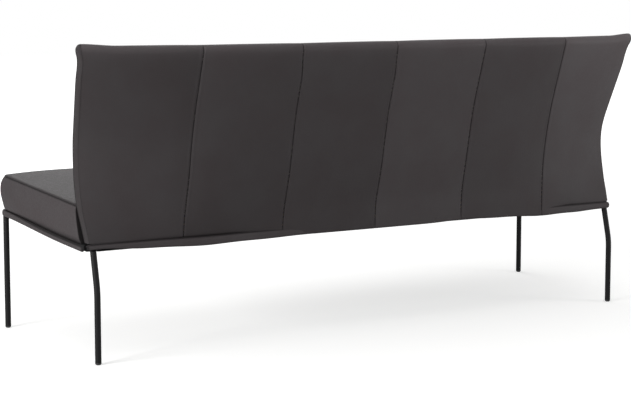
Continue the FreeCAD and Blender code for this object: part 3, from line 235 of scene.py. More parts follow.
def makeLeather():
    # pigmented cowhide, embossed with a fine pebble grain and satin finished:
    # even dark colour with faint clouds, soft wide highlights, painted shade in the seams and shaded
    # hollows
    look = leatherLook
    material, place = newMaterial("pigmentedCowhide")
    cloud = addNode(material, "TexNoise", {
        "Vector": place, "Scale": 1000 / look["cloudSize"], "Detail": 3.0, "Roughness": 0.55})
    fleck = addNode(material, "TexNoise", {
        "Vector": place, "Scale": 1000 / look["wrinkleSize"], "Detail": 4.0, "Roughness": 0.6})
    # real pebbles are about 1 mm across, drawn at 2.4 mm so that a close view shows them
    grain = addNode(material, "TexVoronoi", {
        "Vector": place, "Scale": 1000 / look["grainSize"], "Randomness": 0.9,
    }, feature="DISTANCE_TO_EDGE")
    blend = addNode(material, "MapRange", {"Value": cloud, "From Min": 0.35, "From Max": 0.65})
    cover = paintAndRaise(material, blend, look["colours"], fleck, 0.35, look["wrinkleDepth"])
    # painted light and shade, with small random differences between panels, as a change of brightness
    toneAndLightMark = addNode(material, "Attribute", {}, attribute_name="tone")
    lift = addNode(material, "Math", {0: toneAndLightMark.outputs["Fac"], 1: 1}, operation="ADD")
    toned = addNode(material, "HueSaturation", {"Value": lift, "Color": cover["Base Color"]})
    # painted shade: a mix towards the shadow colour
    paintedShadeMark = addNode(material, "Attribute", {}, attribute_name="crease")
    dark = addNode(material, "Mix", {
        0: paintedShadeMark.outputs["Fac"], 6: toned, 7: hexColour(look["shadow"])}, data_type="RGBA")
    rough = addNode(material, "MapRange", {
        "Value": fleck, "From Min": 0.3, "From Max": 0.7,
        "To Min": look["roughness"] - 0.05, "To Max": look["roughness"] + 0.06})
    valley = addNode(material, "MapRange", {
        "Value": grain, "From Min": 0.0, "From Max": 0.22}, interpolation_type="SMOOTHSTEP")
    pebble = addNode(material, "Bump", {
        "Height": valley, "Normal": cover["Normal"],
        "Strength": 0.3, "Distance": look["grainDepth"] * 0.001})
    return closeMaterial(material, {
        "Base Color": dark.outputs[2], "Roughness": rough, "IOR": look["ior"],
        "Specular IOR Level": look["specular"], "Normal": pebble})


def makeSpeckled(name, colours, size, roughness, bumpDepth, stretch=(1, 1, 1), **settings):
    # a base colour with flecks of a second one, and a bump from the same flecks; sizes in mm
    material, place = newMaterial(name)
    mapping = addNode(material, "Mapping", {"Vector": place, "Scale": stretch})
    fleck = addNode(material, "TexNoise", {
        "Vector": mapping, "Scale": 1000 / size, "Detail": 5.0, "Roughness": 0.62})
    share = addNode(material, "MapRange", {"Value": fleck, "From Min": 0.36, "From Max": 0.66})
    rough = addNode(material, "MapRange", {
        "Value": fleck, "From Min": 0.3, "From Max": 0.7,
        "To Min": roughness - 0.05, "To Max": roughness + 0.05})
    cover = paintAndRaise(material, share, colours, fleck, 0.5, bumpDepth)
    return closeMaterial(material, {**settings, **cover, "Roughness": rough})


def makeWoven(name, colours, thread, roughness):
    # two crossed sets of threads, as on belts; the spacing is in mm
    material, place = newMaterial(name)
    warp, weft = [addNode(material, "TexWave", {
        "Vector": place, "Scale": 1000 / thread / 20, "Distortion": 0.4, "Detail": 1.0,
    }, bands_direction=direction) for direction in ("X", "Y")]
    cross = addNode(material, "Math", {
        0: warp.outputs["Fac"], 1: weft.outputs["Fac"]}, operation="MULTIPLY")
    cover = paintAndRaise(material, cross, colours, cross, 0.6, 0.5)
    return closeMaterial(material, {
        **cover, "Roughness": roughness, "Sheen Weight": 0.15, "Sheen Roughness": 0.5})


leather = makeLeather()
# powder coat over steel: near black, satin, with a faint orange peel about 1.5 mm wide
powderCoat = makeSpeckled(
    "powderCoatedSteel", ("#09090a", "#0c0c0d"), 1.5, 0.6, 0.05,
    **{"IOR": 1.5, "Specular IOR Level": 0.15})
# hidden frame tubes: dipped black primer, flat and slightly uneven
framePrimer = makeSpeckled(
    "dippedPrimerSteel", ("#0a0a0b", "#101011"), 6, 0.65, 0.08,
    **{"IOR": 1.5, "Specular IOR Level": 0.1})
# zinc plated screws: bright grey metal, slightly cloudy
zincPlate = makeSpeckled("zincPlatedSteel", ("#a3a7ac", "#c4c7ca"), 2, 0.34, 0.02, Metallic=1.0)
# planed beech: pale straw with short darker flecks along the grain
planedBeech = makeSpeckled(
    "planedBeech", ("#b98f62", "#d0aa7c"), 8, 0.55, 0.1, stretch=(0.25, 1, 1), IOR=1.5)
# elastic webbing: tight weave, about 2 mm a thread
webbing = makeWoven("elasticWebbing", ("#3a3632", "#8c8577"), 2.0, 0.82)
# needled felt: matted grey fibre
needledFelt = makeSpeckled("needledFelt", ("#6f6d69", "#8b8984"), 4, 0.92, 0.5, IOR=1.45)
# cut polyurethane foam: open pale cells about 1 mm wide
cutFoam = makeSpeckled("cutFoam", ("#cfc9b4", "#e0dbc9"), 1.2, 0.9, 0.4, IOR=1.45)
# spunbond cover cloth: thin black fleece with pressed dots
spunbond = makeSpeckled("spunbondFleece", ("#161616", "#242424"), 1.8, 0.88, 0.15, IOR=1.45)
# moulded polyethylene glides: black, slightly waxy
mouldedGlide = makeSpeckled("mouldedPolyethylene", ("#101011", "#18181a"), 3, 0.38, 0.03, IOR=1.51)
print("materials made")

# Bare CAD nodes that stay, by the start of their names.
finishes = {
    "leg_": powderCoat, "foot_glide_": mouldedGlide, "base_cross_rail_": framePrimer,
    "corner_gussets": framePrimer, "back_upright_": framePrimer, "back_top_tube": framePrimer,
    "back_wing_plate_": framePrimer, "frame_screws": zincPlate, "seat_front_rail": planedBeech,
    "seat_rear_rail": planedBeech, "seat_left_rail": planedBeech, "seat_right_rail": planedBeech,
    "seat_belts": webbing, "back_belts": webbing, "seat_felt": needledFelt, "dust_cover": spunbond,
}
for start, finish in finishes.items():
    for node in (nodes[name] for name in nodes if name.startswith(start)):
        if not node.material_slots:
            node.data.materials.append(finish)
        for materialSlot in node.material_slots:
            materialSlot.material = finish

# The back. Every point of it is a place across, a height and an offset forward of the rear face.
# Its ends are fuller low down than the solids, with a notch and a small flare at the top corners.
backEnds = {
    "lowSpread": 8, "lowSettle": 10, "lowFade": (420, 600), "settleRise": (320, 385),
    "flare": 5.0, "flareRise": (848, 884), "notch": 2.5, "notchHeight": 836, "notchReach": 25,
}


def lowShare(height):
    # 1 in the lower part of the wings, where the leather settles outwards and to the rear
    return 1 - smoothStep(height, *backEnds["lowFade"])


def backRise(height):
    # 0 at the foot of the back and 1 at its top
    return (height - back["footHeight"]) / (back["height"] - back["footHeight"])


def wingDepth(height):
    # the rear face at the very end: a bow and then a straight that leans back
    turn = back["bowHeight"] + back["bowRadius"] * sin(radians(back["wingLean"]))
    below = np.minimum(height, turn) - back["bowHeight"]
    bowed = back["bowDepth"] - back["bowRadius"] + np.sqrt(back["bowRadius"] ** 2 - below ** 2)
    settle = backEnds["lowSettle"] * lowShare(height) * smoothStep(height, *backEnds["settleRise"])
    return bowed - np.maximum(height - turn, 0) * tan(radians(back["wingLean"])) - settle


def halfBack(height):
    # half the width: a straight taper, with the notch, the flare and the fuller low part
    half = (back["footWidth"] + backRise(height) * (back["topWidth"] - back["footWidth"])) / 2
    flare = backEnds["flare"] * smoothStep(height, *backEnds["flareRise"])
    notch = backEnds["notch"] * bell(height - backEnds["notchHeight"], backEnds["notchReach"])
    return half + (flare - notch) + backEnds["lowSpread"] * lowShare(height)


def wingShare(across, height):
    # 0 in the straight middle, growing with the square of the reach to 1 at the end
    reach = (np.abs(across) - back["wingStart"]) / (halfBack(height) - back["wingStart"])
    return np.maximum(reach, 0) ** 2


def rearDepth(across, height):
    # the straights of the middle, blended into the bow of the ends
    middle = middleDepth(height)
    return middle + wingShare(across, height) * (wingDepth(height) - middle)


def backThickness(across, height):
    # thinner towards the top and towards the ends
    middle = back["footThickness"] + backRise(height) * (back["topThickness"] - back["footThickness"])
    return middle + wingShare(across, height) * (back["endThickness"] - middle)


backLook = {
    "rows": 96, "columns": (26, 12, 26), "rimHeight": 20, "rimSteps": 14, "skin": 3.0, "fill": 0.85,
    "border": 7, "cornerInset": 5.5, "seamWidth": 1.3, "ridge": 0.7, "ridgePlace": 6.5,
    "ridgeWidth": 3.5, "pucker": 0.3, "puckerPitch": 17.0, "puckerReach": 9, "sway": 0.7,
    "swayAcross": 83, "swayAlong": 118, "swayFree": 60, "fullFrom": 70, "footFullness": 0.3,
    "rimPull": 0.45, "rimSwell": 1.8, "earRise": 6, "earSpan": (110, 10), "topFull": 1,
    "topLift": 4.0, "liftSpan": (-500, 600), "riseSpan": 110, "rimPaintedLight": 1.5, "rimFade": 11.0,
    "faceHeight": 500, "seamShade": (0.85, 0.75), "footShade": (2.5, 0.65), "rimShade": 0.7,
    "rimTurn": 1.45,
    "seamDrift": (0, 0, 0, 8.0, 9.0, 10.5, 0), "driftRise": (340, 540), "driftEnd": (780, 880),
}
# what differs between the two faces; steps from the end at -X and slopes from foot to top: painted
# light on the rear, small random steps on the front
panelLooks = {
    "rear": {
        "crown": 4.0, "squareness": 5, "seamDepth": 1.7,
        "tones": (0.33, 0.02, 0.15, -0.08, -0.10, -0.13),
        "fades": (0.6, 0.15, 0.15, 0.15, 0.15, -0.1),
    },
    "front": {
        "crown": 8.0, "squareness": 3.2, "seamDepth": 5.0,
        "tones": (0.02, -0.02, 0.01, 0.0, -0.03, 0.02), "fades": (0,) * 6,
    },
}
borderLook = {
    "steps": 17, "closing": 0.97, "seamDepth": 1.6, "seamWidth": 2.0, "girth": 40, "skin": 2.0,
    "darkSpan": (0.52, 0.6), "dark": 0.92, "tone": 0.33,
}
# the lower edge of the rear leather and its band; a swell has a place across, a reach and a height
hem = {
    "level": 315.8, "endRise": 6, "endSpan": (740, 900), "tuck": 0.5,
    "swells": (
        (570, 110, -6.8), (380, 90, -3), (-650, 90, -6.5),
        (-790, 60, -3.5), (-330, 80, 4.6), (880, 60, 2.6)),
    "hangStart": (-780, -620), "hangEnd": (200, 500), "hangDepth": 11.5, "hangEase": 3.0,
    "curl": 2.5, "curlHeight": 6, "flatHeight": 50, "flatShare": 0.8,
}
rimBottom = back["height"] - backLook["rimHeight"]
seamRoom = 0.15  # half the gap between two neighbouring pieces of leather


def topRise(across, height):
    # the top is fuller towards one end, and its corners stand up a little
    look = backLook
    far, close = look["earSpan"]
    corner = smoothStep(np.abs(across), halfBack(height) - far, halfBack(height) - close)
    full = look["topFull"] + look["topLift"] * smoothStep(-across, *look["liftSpan"])
    share = smoothStep(height, back["height"] - look["riseSpan"], back["height"])
    return (full + look["earRise"] * corner) * share


def hemHeight(across):
    # a level line with its swells: it sags between the legs, unevenly as soft leather does
    height = hem["level"] + hem["endRise"] * smoothStep(across, *hem["endSpan"])
    for place, reach, size in hem["swells"]:
        height = height + bell(across - place, reach, size)
    return height


def hangShare(across):
    # 1 where the rear leather hangs down over the band, 0 where it stops above it
    return smoothStep(across, *hem["hangStart"]) * (1 - smoothStep(across, *hem["hangEnd"]))


def rimRows():
    # shares of the height up to the rim, then the turn over it
    rows, steps = backLook["rows"], backLook["rimSteps"]
    rise = np.concatenate([np.linspace(0, 1, rows), np.ones(steps)])
    turn = np.concatenate([np.zeros(rows), np.linspace(0, pi / 2, steps + 1)[1:]])
    return rise[:, None], turn[:, None]


def endInset(turn):
    # how far the seam of an end border lies inside the end, more so over the rim
    return backLook["border"] + backLook["cornerInset"] * (1 - np.cos(turn))


def panelEdge(number, height, turn, isRear):
    # the upright seams, from 0 and 6 at the end borders; three seams of the rear run off a little
    # from the foot up, and two of them come back below the top
    if number in (0, 6):
        return (number - 3) / 3 * (halfBack(height) - endInset(turn))
    upper = 0 if number == 5 else smoothStep(height, *backLook["driftEnd"])
    drift = backLook["seamDrift"][number] * smoothStep(height, *backLook["driftRise"]) * (1 - upper)
    return (number - 3) * back["panelWidth"] - drift * isRear


def backPanel(number, kind):
    # a crowned panel: base surface, plus crown, seam grooves, ridges beside them and a slow sway,
    # all measured outwards, turning up and over with the rim
    look, own = backLook, panelLooks[kind]
    isRear = kind == "rear"
    rise, turn = rimRows()
    forward = -1 if isRear else 1
    share = closeAtEnds(back["panelWidth"], *look["columns"])[None, ::forward]
    nominal = (number - 3) * back["panelWidth"] + share * back["panelWidth"]
    if isRear:
        over = hangShare(nominal)
        tucked = base["rearHeight"] + base["bandHeight"] - hem["tuck"]
        foot = tucked + over * (hemHeight(nominal) - tucked)
    else:
        foot = back["frontFoot"] + 0 * nominal
    height = foot + (rimBottom - foot) * rise + look["rimHeight"] * np.sin(turn)
    near = panelEdge(number, height, turn, isRear)
    width = panelEdge(number + 1, height, turn, isRear) - near
    across = near + width * share + np.sign(0.5 - share) * seamRoom
    seamGap = np.minimum(share, 1 - share) * width
    if isRear and number in (0, 5):
        # no visible seam where the rear leather turns round the end
        seamGap = (1 - share if number == 0 else share) * width
    low = look["footFullness"]
    full = low + (1 - low) * smoothStep(height - foot, 0, look["fullFrom"])
    full = full * (1 - look["rimPull"] * np.sin(turn))
    crown = own["crown"] * full * (1 - np.abs(2 * share - 1) ** own["squareness"])
    groove = own["seamDepth"] * bell(seamGap, look["seamWidth"])
    ridge = look["ridge"] * bell(seamGap - look["ridgePlace"], look["ridgeWidth"])
    # uneven steps of phase from panel to panel, so that no two look alike
    wave = np.sin(2 * pi * height / look["puckerPitch"] + 2.1 * number + 3 * np.sin(height / 61))
    pucker = look["pucker"] * wave * np.exp(-seamGap / look["puckerReach"])
    sway = slowSway(look, across, height, seamGap, (1.7 * number, 0.9 * number))
    out = crown - groove + ridge + pucker + sway
    depth = rearDepth(across, height)
    if isRear:
        # the hanging part stays flat against the base, and its lower edge turns in
        hanging = hem["hangEase"] * np.logaddexp(0, (depth - hem["hangDepth"]) / hem["hangEase"])
        depth = depth - over * hanging
        curl = 1 - smoothStep(height - foot, 0, hem["curlHeight"])
        flat = over * (1 - smoothStep(height - foot, 0, hem["flatHeight"]))
        out = out - hem["curl"] * curl ** 2 - crown * flat * hem["flatShare"]
    rollOver = (1 - np.cos(turn)) / 2
    offset = backThickness(across, height) * (rollOver if isRear else 1 - rollOver)
    depth = depth + offset + forward * out * np.cos(turn)
    top = height + (look["rimSwell"] + 0.2 * out) * np.sin(turn) + topRise(across, height)
    # painted shade in the seams, along the top of the rim and where the leather goes behind the band
    crease = look["rimShade"] * (turn > look["rimTurn"])
    crease = np.maximum(crease, bell(seamGap, *look["seamShade"]))
    if isRear:
        crease = np.maximum(crease, (1 - over) * bell(height - foot, *look["footShade"]))
    # painted light: paler along the rim, fading down the face
    rim = np.exp(-(1 - np.sin(turn)) * look["rimHeight"] / look["rimFade"])
    rim = rim * np.exp(-(1 - rise) * look["faceHeight"] / look["rimFade"])
    # on the rear the steps per panel and the slope from foot to top are painted light
    tone = own["tones"][number] + look["rimPaintedLight"] * rim + own["fades"][number] * (rise - 0.5)
    points = toRoom(across, depth, top)
    addLeather(f"back_{kind}_panel_{number + 1}", points, look["skin"], crease, tone)


def backBorder(side):
    # half an ellipse from the rear leather to the front seam, closing over the rim; painted shade
    # darkens its front half
    look = borderLook
    rise, turn = rimRows()
    turn = turn * look["closing"]
    way = np.linspace(0, 1, look["steps"])[None, ::-side]
    height = back["footHeight"] + (rimBottom - back["footHeight"]) * rise
    height = height + backLook["rimHeight"] * np.sin(turn)
    rollOver = (1 - np.cos(turn)) / 2
    offsetShare = rollOver + (1 - 2 * rollOver) * (1 - np.cos(pi * way)) / 2
    bulge = backLook["border"] * np.sin(pi * way) ** 0.7 * np.cos(turn) ** 0.5
    groove = look["seamDepth"] * bell((1 - way) * look["girth"], look["seamWidth"])
    across = halfBack(height) - endInset(turn) + bulge - groove
    depth = rearDepth(across, height) + back["endThickness"] * offsetShare
    top = height + backLook["rimSwell"] * np.sin(turn) + topRise(across, height)
    # painted shade over the front half; painted light makes the end at -X lighter and the end at +X
    # darker
    crease = look["dark"] * smoothStep(way, *look["darkSpan"])
    points = toRoom(side * across, depth, top)
    addLeather(f"back_border_{sideName(side)}", points, look["skin"], crease, -side * look["tone"])


for number in range(6):
    backPanel(number, "rear")
    backPanel(number, "front")
for side in (-1, 1):
    backBorder(side)
print("back upholstered")


# The seat, in its own tipped frame.
seat = {
    "rearRise": 117, "frontRise": 127, "rearPlace": 90, "edgeRadius": 36, "edgeDrop": 26,
    "edgeHeight": 1.5, "groove": 4, "seamPlace": 319, "seamDepth": 4.5, "seamWidth": 2.0,
    "crown": 8.0, "tuckFlat": 0.35, "rollFlat": 0.4, "squareness": 3.4, "skin": 3.0, "fill": 0.8,
    "rearReach": 930, "tuckDepth": 10, "tuckDrop": 34, "rows": (8, 70, 14),
    "columns": (640, 40, 14, 40), "sway": 0.9, "swayAcross": 97, "swayAlong": 71, "swayFree": 70,
    "ripple": 0.3, "ripplePitch": 19, "rippleReach": 10, "backGap": 0.5, "backLevel": 440,
    "backFade": (840, 925), "tones": (0.0, 0.02, -0.01), "rearShade": 0.14, "shadeSpan": (130, 480),
    "seamShade": (1.3, 0.85), "tuckShade": 0.7, "sideShade": (0.97, 0.5), "sideSeam": (1.9, 0.7),
    "darkest": 0.9,
}
# the sides and the front: a swell below the top edge, a foot tucked in behind the band
wall = {
    "foot": 19.4, "skin": 2.6, "fill": 0.7, "rows": (100, 22, 12, 14), "columns": (500, 22, 8, 60),
    "frontSteps": (14, 120), "gap": 0.3, "tuck": 7.4, "cornerTuck": 4.6, "cornerLift": 1.2,
    "headReach": 5, "belly": 0.5, "nose": 12.0, "noseDrop": 40.0, "noseReach": 90.0,
    "sideNose": 0.35, "rearSpan": (300, 570), "rearClear": 0.6,
    "foldRadius": 2.0, "foldDepth": 20.0, "sideSway": 0.8, "frontSway": 0.7,
    "spread": 5.5, "spreadMore": 3.5, "drop": 5, "spreadSpan": (150, 568), "footFlat": 1.5,
    "footReach": 4.5, "footMore": 9, "shadeReach": 3.5, "shadeMore": 6, "footShade": 0.85,
    "sideShade": (1.9, 0.97), "frontShade": (1.2, 0.6), "rearShade": (1.4, 0.8), "darkest": 0.97,
    "rearFoot": 55, "rearRun": 50, "rearClimb": 95, "sideWave": 67, "frontWave": 91,
}
taper = (base["frontWidth"] - base["rearWidth"]) / 2 / base["depth"]
rollStart = base["depth"] - seat["groove"] - seat["edgeRadius"]
cornerRadius = seat["edgeRadius"] + seat["groove"]


def halfBase(forward):
    # half the width of the base, which tapers to the rear
    return base["rearWidth"] / 2 + taper * forward


cornerAcross = halfBase(rollStart) - cornerRadius * sqrt(1 + taper ** 2)


def footShift(forward, side):
    # how far the foot of a side has moved outwards and down towards the rear
    share = 1 - smoothStep(forward, *wall["spreadSpan"])
    return (wall["spread"] + wall["spreadMore"] * side) * share, wall["drop"] * share


def seamRise(forward):
    # level of the seam round the top of the seat
    slope = (seat["frontRise"] - seat["rearRise"]) / (base["depth"] - seat["rearPlace"])
    return seat["rearRise"] + slope * (forward - seat["rearPlace"])


def noseBulge(drop, turn):
    # how far the walls swell forward below the top edge: most at the front, less on the sides;
    # a parabola down to the fullest level and a slow fade from there to the band
    full = wall["noseDrop"]
    rising = 1 - (1 - np.minimum(drop / full, 1)) ** 2
    falling = 1 - smoothStep(drop, full + 5, seat["frontRise"] - wall["foot"])
    frontShare = wall["sideNose"] + (1 - wall["sideNose"]) * smoothStep(turn, 0, 0.5)
    return wall["nose"] * rising * falling * frontShare


def cushionRear(across):
    # the rear edge of the cushion follows the front face of the back, whose crown fades at its ends
    level = seat["backLevel"]
    crown = panelLooks["front"]["crown"] * (1 - smoothStep(np.abs(across), *seat["backFade"]))
    depth = rearDepth(across, level) + backThickness(across, level) + crown + seat["backGap"]
    return (depth - base["setback"] + seat["rearRise"] * sin(tilt)) / cos(tilt)


def backEnd(forward, up):
    # how far forward the end of the back reaches beside a point of the seat's side
    height = base["rearHeight"] + forward * sin(tilt) + up * cos(tilt)
    across = halfBack(height) - backLook["border"]
    depth = rearDepth(across, height) + back["endThickness"]
    return (depth - base["setback"] + up * sin(tilt)) / cos(tilt)


def seatTop(number):
    # crowned between its seams, tucked down at the rear and rolled over the front edge
    tucked, straight, over = seat["rows"]
    tuck = np.concatenate([np.linspace(1, 0, tucked + 1)[:-1], np.zeros(straight + over)])[:, None]
    run = np.concatenate([np.zeros(tucked), np.linspace(0, 1, straight), np.ones(over)])[:, None]
    rolling = np.linspace(0, pi / 2, over + 1)[1:]
    turn = np.concatenate([np.zeros(tucked + straight), rolling])[:, None]
    share = closeAtEnds(*seat["columns"])[None, :]
    if number == 1:
        nominal = (share - 0.5) * 2 * seat["seamPlace"]
    else:
        outward = share if number == 2 else 1 - share
        nominal = seat["seamPlace"] + outward * (seat["rearReach"] - seat["seamPlace"])
    first = cushionRear(nominal) + seat["tuckDepth"]
    place = first + (rollStart - first) * run
    drop = seat["edgeDrop"] * (1 - np.cos(turn))
    nose = noseBulge(drop, turn)
    cornerEnd = cornerAcross + (seat["edgeRadius"] + nose) * np.cos(turn)
    sideEnd = np.where(turn > 0, cornerEnd, halfBase(place) - seat["groove"])
    seam = seat["seamPlace"] + 0 * sideEnd
    near, far = ((-sideEnd, -seam), (-seam, seam), (seam, sideEnd))[number]
    width = far - near
    across = near + width * share + np.sign(0.5 - share) * seamRoom
    nearGap, farGap = share * width, (1 - share) * width
    seamGap = np.minimum(nearGap, farGap)
    rolled = np.sin(turn)
    crown = seat["crown"] * (1 - rolled ** 2) * (1 - np.abs(2 * share - 1) ** seat["squareness"])
    crown = crown * (1 - seat["tuckFlat"] * tuck)
    groove = seat["seamDepth"] * bell(seamGap, seat["seamWidth"]) * (1 - seat["rollFlat"] * rolled)
    sway = slowSway(seat, across, place, seamGap, (number, 2 * number))
    ripple = seat["ripple"] * np.sin(2 * pi * place / seat["ripplePitch"] + number)
    ripple = ripple * np.exp(-seamGap / seat["rippleReach"])
    edge = seat["edgeHeight"] * (1 - rolled ** 4)
    out = edge + crown - groove + sway * np.cos(turn) + ripple + nose
    pulled = seat["tuckDepth"] * np.sin(tuck * pi / 2)
    forward = place + (seat["edgeRadius"] + out) * rolled - pulled
    down = drop + seat["tuckDrop"] * tuck ** 2
    up = seamRise(np.minimum(place, rollStart)) - down + out * np.cos(turn)
    # painted shade: the outer seams are darkest, and the middle panel has none
    sideGap = (nearGap, np.inf, farGap)[number]
    crease = bell(seamGap, *seat["seamShade"]) + seat["tuckShade"] * smoothStep(tuck, 0.2, 1)
    depth, width = [level - less * rolled for level, less in (seat["sideShade"], seat["sideSeam"])]
    crease = np.clip(crease + depth * bell(sideGap, width), 0, seat["darkest"])
    # small random differences between panels, and painted shade towards the rear, where the back
    # shades the seat
    tone = seat["tones"][number] - seat["rearShade"] * (1 - smoothStep(place, *seat["shadeSpan"]))
    name = ("left", "middle", "right")[number]
    points = seatToRoom(across, forward, up)
    addLeather(f"seat_top_{name}", points, seat["skin"], crease, tone)


def rearShare(forward):
    # 1 along the rear of a side and 0 near the front
    return 1 - smoothStep(forward, *wall["rearSpan"])


def wallInset(rise, length, forward, tuck):
    # tucked in behind the band, most softly at the rear, and drawn in again under the top seam
    climb = np.maximum(rise * length - wall["footFlat"], 0)
    foot = tuck * np.exp(-climb / (wall["footReach"] + wall["footMore"] * rearShare(forward)))
    head = seat["groove"] * np.exp(-(1 - rise) * length / wall["headReach"])
    return foot + head + wall["belly"] * np.sin(rise * pi)


def wallPaintedShade(rise, length, forward, width, size):
    # painted shade under the top seam and above the band
    reach = wall["shadeReach"] + wall["shadeMore"] * rearShare(forward)
    low = bell(rise * length, reach, wall["footShade"])
    return np.clip(bell((1 - rise) * length, width, size) + low, 0, wall["darkest"])


def seatSide(side):
    # from the slanted rear edge, where the leather turns in beside the back, to the front corner
    rise = closeAtEnds(*wall["rows"])[:, None]
    # three places more for the turned-in edge and six for the bend round it
    run = np.append(np.zeros(9), closeAtEnds(*wall["columns"]))
    fold, bend = np.zeros((2, len(run)))
    fold[:3] = np.linspace(1, 0, 4)[:-1]
    bend[:3], bend[3:9] = pi / 2, np.linspace(pi / 2, 0, 7)[:-1]
    run, fold, bend = [line[None, ::-side] for line in (run, fold, bend)]
    radius = wall["foldRadius"]
    rear = backEnd(wall["rearFoot"] + wall["rearRun"] * rise, wall["foot"] + wall["rearClimb"] * rise)
    rear = rear + wall["rearClear"]
    last = rollStart - cornerRadius * sin(atan(taper)) - wall["gap"]
    forward = rear + radius * (1 - np.sin(bend)) + (last - rear - radius) * run
    top = seamRise(forward) - wall["gap"]
    length = top - wall["foot"]
    up = wall["foot"] + length * rise
    sway = wall["sideSway"] * np.sin(forward / wall["sideWave"] + side) * np.sin(rise * pi)
    swell = noseBulge(top - up, 0) * smoothStep(forward, rollStart - wall["noseReach"], rollStart)
    inset = wallInset(rise, length, forward, wall["tuck"]) - sway - swell
    inset = inset + radius * (1 - np.cos(bend)) + wall["foldDepth"] * fold
    outwards, down = footShift(forward, side)
    across = side * (halfBase(forward) + outwards * (1 - rise) - inset)
    up = up - down * (1 - rise)
    # painted shade under the top seam, above the band and along the rear edge beside the back
    crease = wallPaintedShade(rise, length, forward, *wall["sideShade"])
    crease = np.maximum(crease, bell(forward - rear, *wall["rearShade"]))
    points = seatToRoom(across, forward, up)
    addLeather(f"seat_side_{sideName(side)}", points, wall["skin"], crease)


def frontPlan(centre, forward, radius, arcSteps, straightSteps):
    # plan of a front: a corner arc, the straight front and the other arc, as places and angle
    arc = np.linspace(-atan(taper), pi / 2, arcSteps)
    turn = np.concatenate([arc, np.full(straightSteps, pi / 2), arc[::-1]])[None, :]
    straight = np.linspace(1, -1, straightSteps + 2)[1:-1]
    place = np.concatenate([np.ones(arcSteps), straight, -np.ones(arcSteps)])[None, :]
    across = centre * place + np.sign(place) * radius * np.cos(turn)
    return across, forward + radius * np.sin(turn), turn


def seatFront():
    # its two round corners follow the roll of the cushion and lap a little over it
    rise = closeAtEnds(*wall["rows"])[:, None]
    turn = frontPlan(cornerAcross, rollStart, cornerRadius, *wall["frontSteps"])[2]
    corner = np.clip(turn, 0, pi / 2)
    drop = seat["edgeDrop"] * (1 - np.cos(corner)) - wall["cornerLift"] * np.sin(2 * corner)
    top = seamRise(rollStart) - drop - wall["gap"]
    length = top - wall["foot"]
    up = wall["foot"] + length * rise
    tuck = wall["tuck"] - wall["cornerTuck"] * np.sin(2 * corner) ** 2
    front = base["depth"]
    inset = wallInset(rise, length, front, tuck) - noseBulge(seamRise(rollStart) - up, turn)
    radius = cornerRadius - inset
    across, forward = frontPlan(cornerAcross, rollStart, radius, *wall["frontSteps"])[:2]
    across = -across  # counted from the other end, so that the faces point outwards
    sway = wall["frontSway"] * np.sin(across / wall["frontWave"]) * np.sin(rise * pi)
    forward = forward + np.minimum(sway * np.sin(corner) ** 4, 0.2)
    # painted shade under the top seam and above the band
    crease = wallPaintedShade(rise, length, front, *wall["frontShade"])
    points = seatToRoom(across, forward, up)
    addLeather("seat_front", points, wall["skin"], crease)


for number in range(3):
    seatTop(number)
for side in (-1, 1):
    seatSide(side)
seatFront()
print("seat upholstered")

# Leather bands round the base tubes: a rounded strip, as a profile carried along each side.
band = {
    "reach": 6.4, "roundness": 2.5, "wall": 0.7, "lip": 14.5, "corner": 27, "sideRear": 34,
    "endRound": 9, "frontSteps": (12, 118), "sideColumns": (500, 12, 10, 60),
    "rearColumns": (1860, 30, 16, 150), "rearEnd": 930, "rearShift": 3.5, "rearRound": 10,
    "rearTone": 0.12, "rearTop": 0.8, "rearDip": 1.5, "dipPlace": 560, "dipReach": 120,
    "rearLap": 0.6, "rearTaper": 4, "rearFull": 1.2, "rearHang": 0.8, "rearSway": 0.8,
    "swayAcross": 71, "sideTaper": 3, "shade": 0.85, "footShade": 0.3, "rearShade": 0.55,
    "endShade": (5, 0.9), "rearEndShade": (4, 0.9),
}


def halfRound(steps):
    # a flattened half round from the top down: inset from the face of the base, share of the height
    angle = np.linspace(pi / 2, -pi / 2, steps)
    power = 2 / band["roundness"]
    inset = band["reach"] * (1 - np.abs(np.cos(angle)) ** power)
    return inset, (1 + np.sign(np.sin(angle)) * np.abs(np.sin(angle)) ** power) / 2


def bandProfile():
    # the half round with a flat lip along its top
    inset, rise = halfRound(25)
    lip = np.linspace(band["lip"], band["reach"], 6)[:-1]
    return np.concatenate([lip, inset])[:, None], np.concatenate([np.ones_like(lip), rise])[:, None]


def bandPaintedShade(rise, deep=0):
    # painted shade along the top, further down where deep is 1, and a little along the lower edge
    start = 0.84 - 0.22 * deep
    high = band["shade"] * smoothStep(rise, start, start + 0.14)
    return high + band["footShade"] * (1 - smoothStep(rise, 0, 0.15))


def endShrink(gap, length):
    # a quarter circle that thins a band out towards its end
    return np.where(gap < length, np.sqrt(np.clip(1 - (gap / length - 1) ** 2, 0.02, 1)), 1)


def bandCorner(inset):
    # centre and radius of the arc where a side band meets the front one
    forward = base["depth"] - band["corner"]
    return halfBase(forward) - band["corner"] * sqrt(1 + taper ** 2), forward, band["corner"] - inset


def cornerStart(inset):
    # where that arc begins on the side
    _, forward, radius = bandCorner(inset)
    return forward - radius * sin(atan(taper))


def cornerPath(inset):
    # plan of the front of the base, as places across and forward
    return frontPlan(*bandCorner(inset), *band["frontSteps"])[:2]


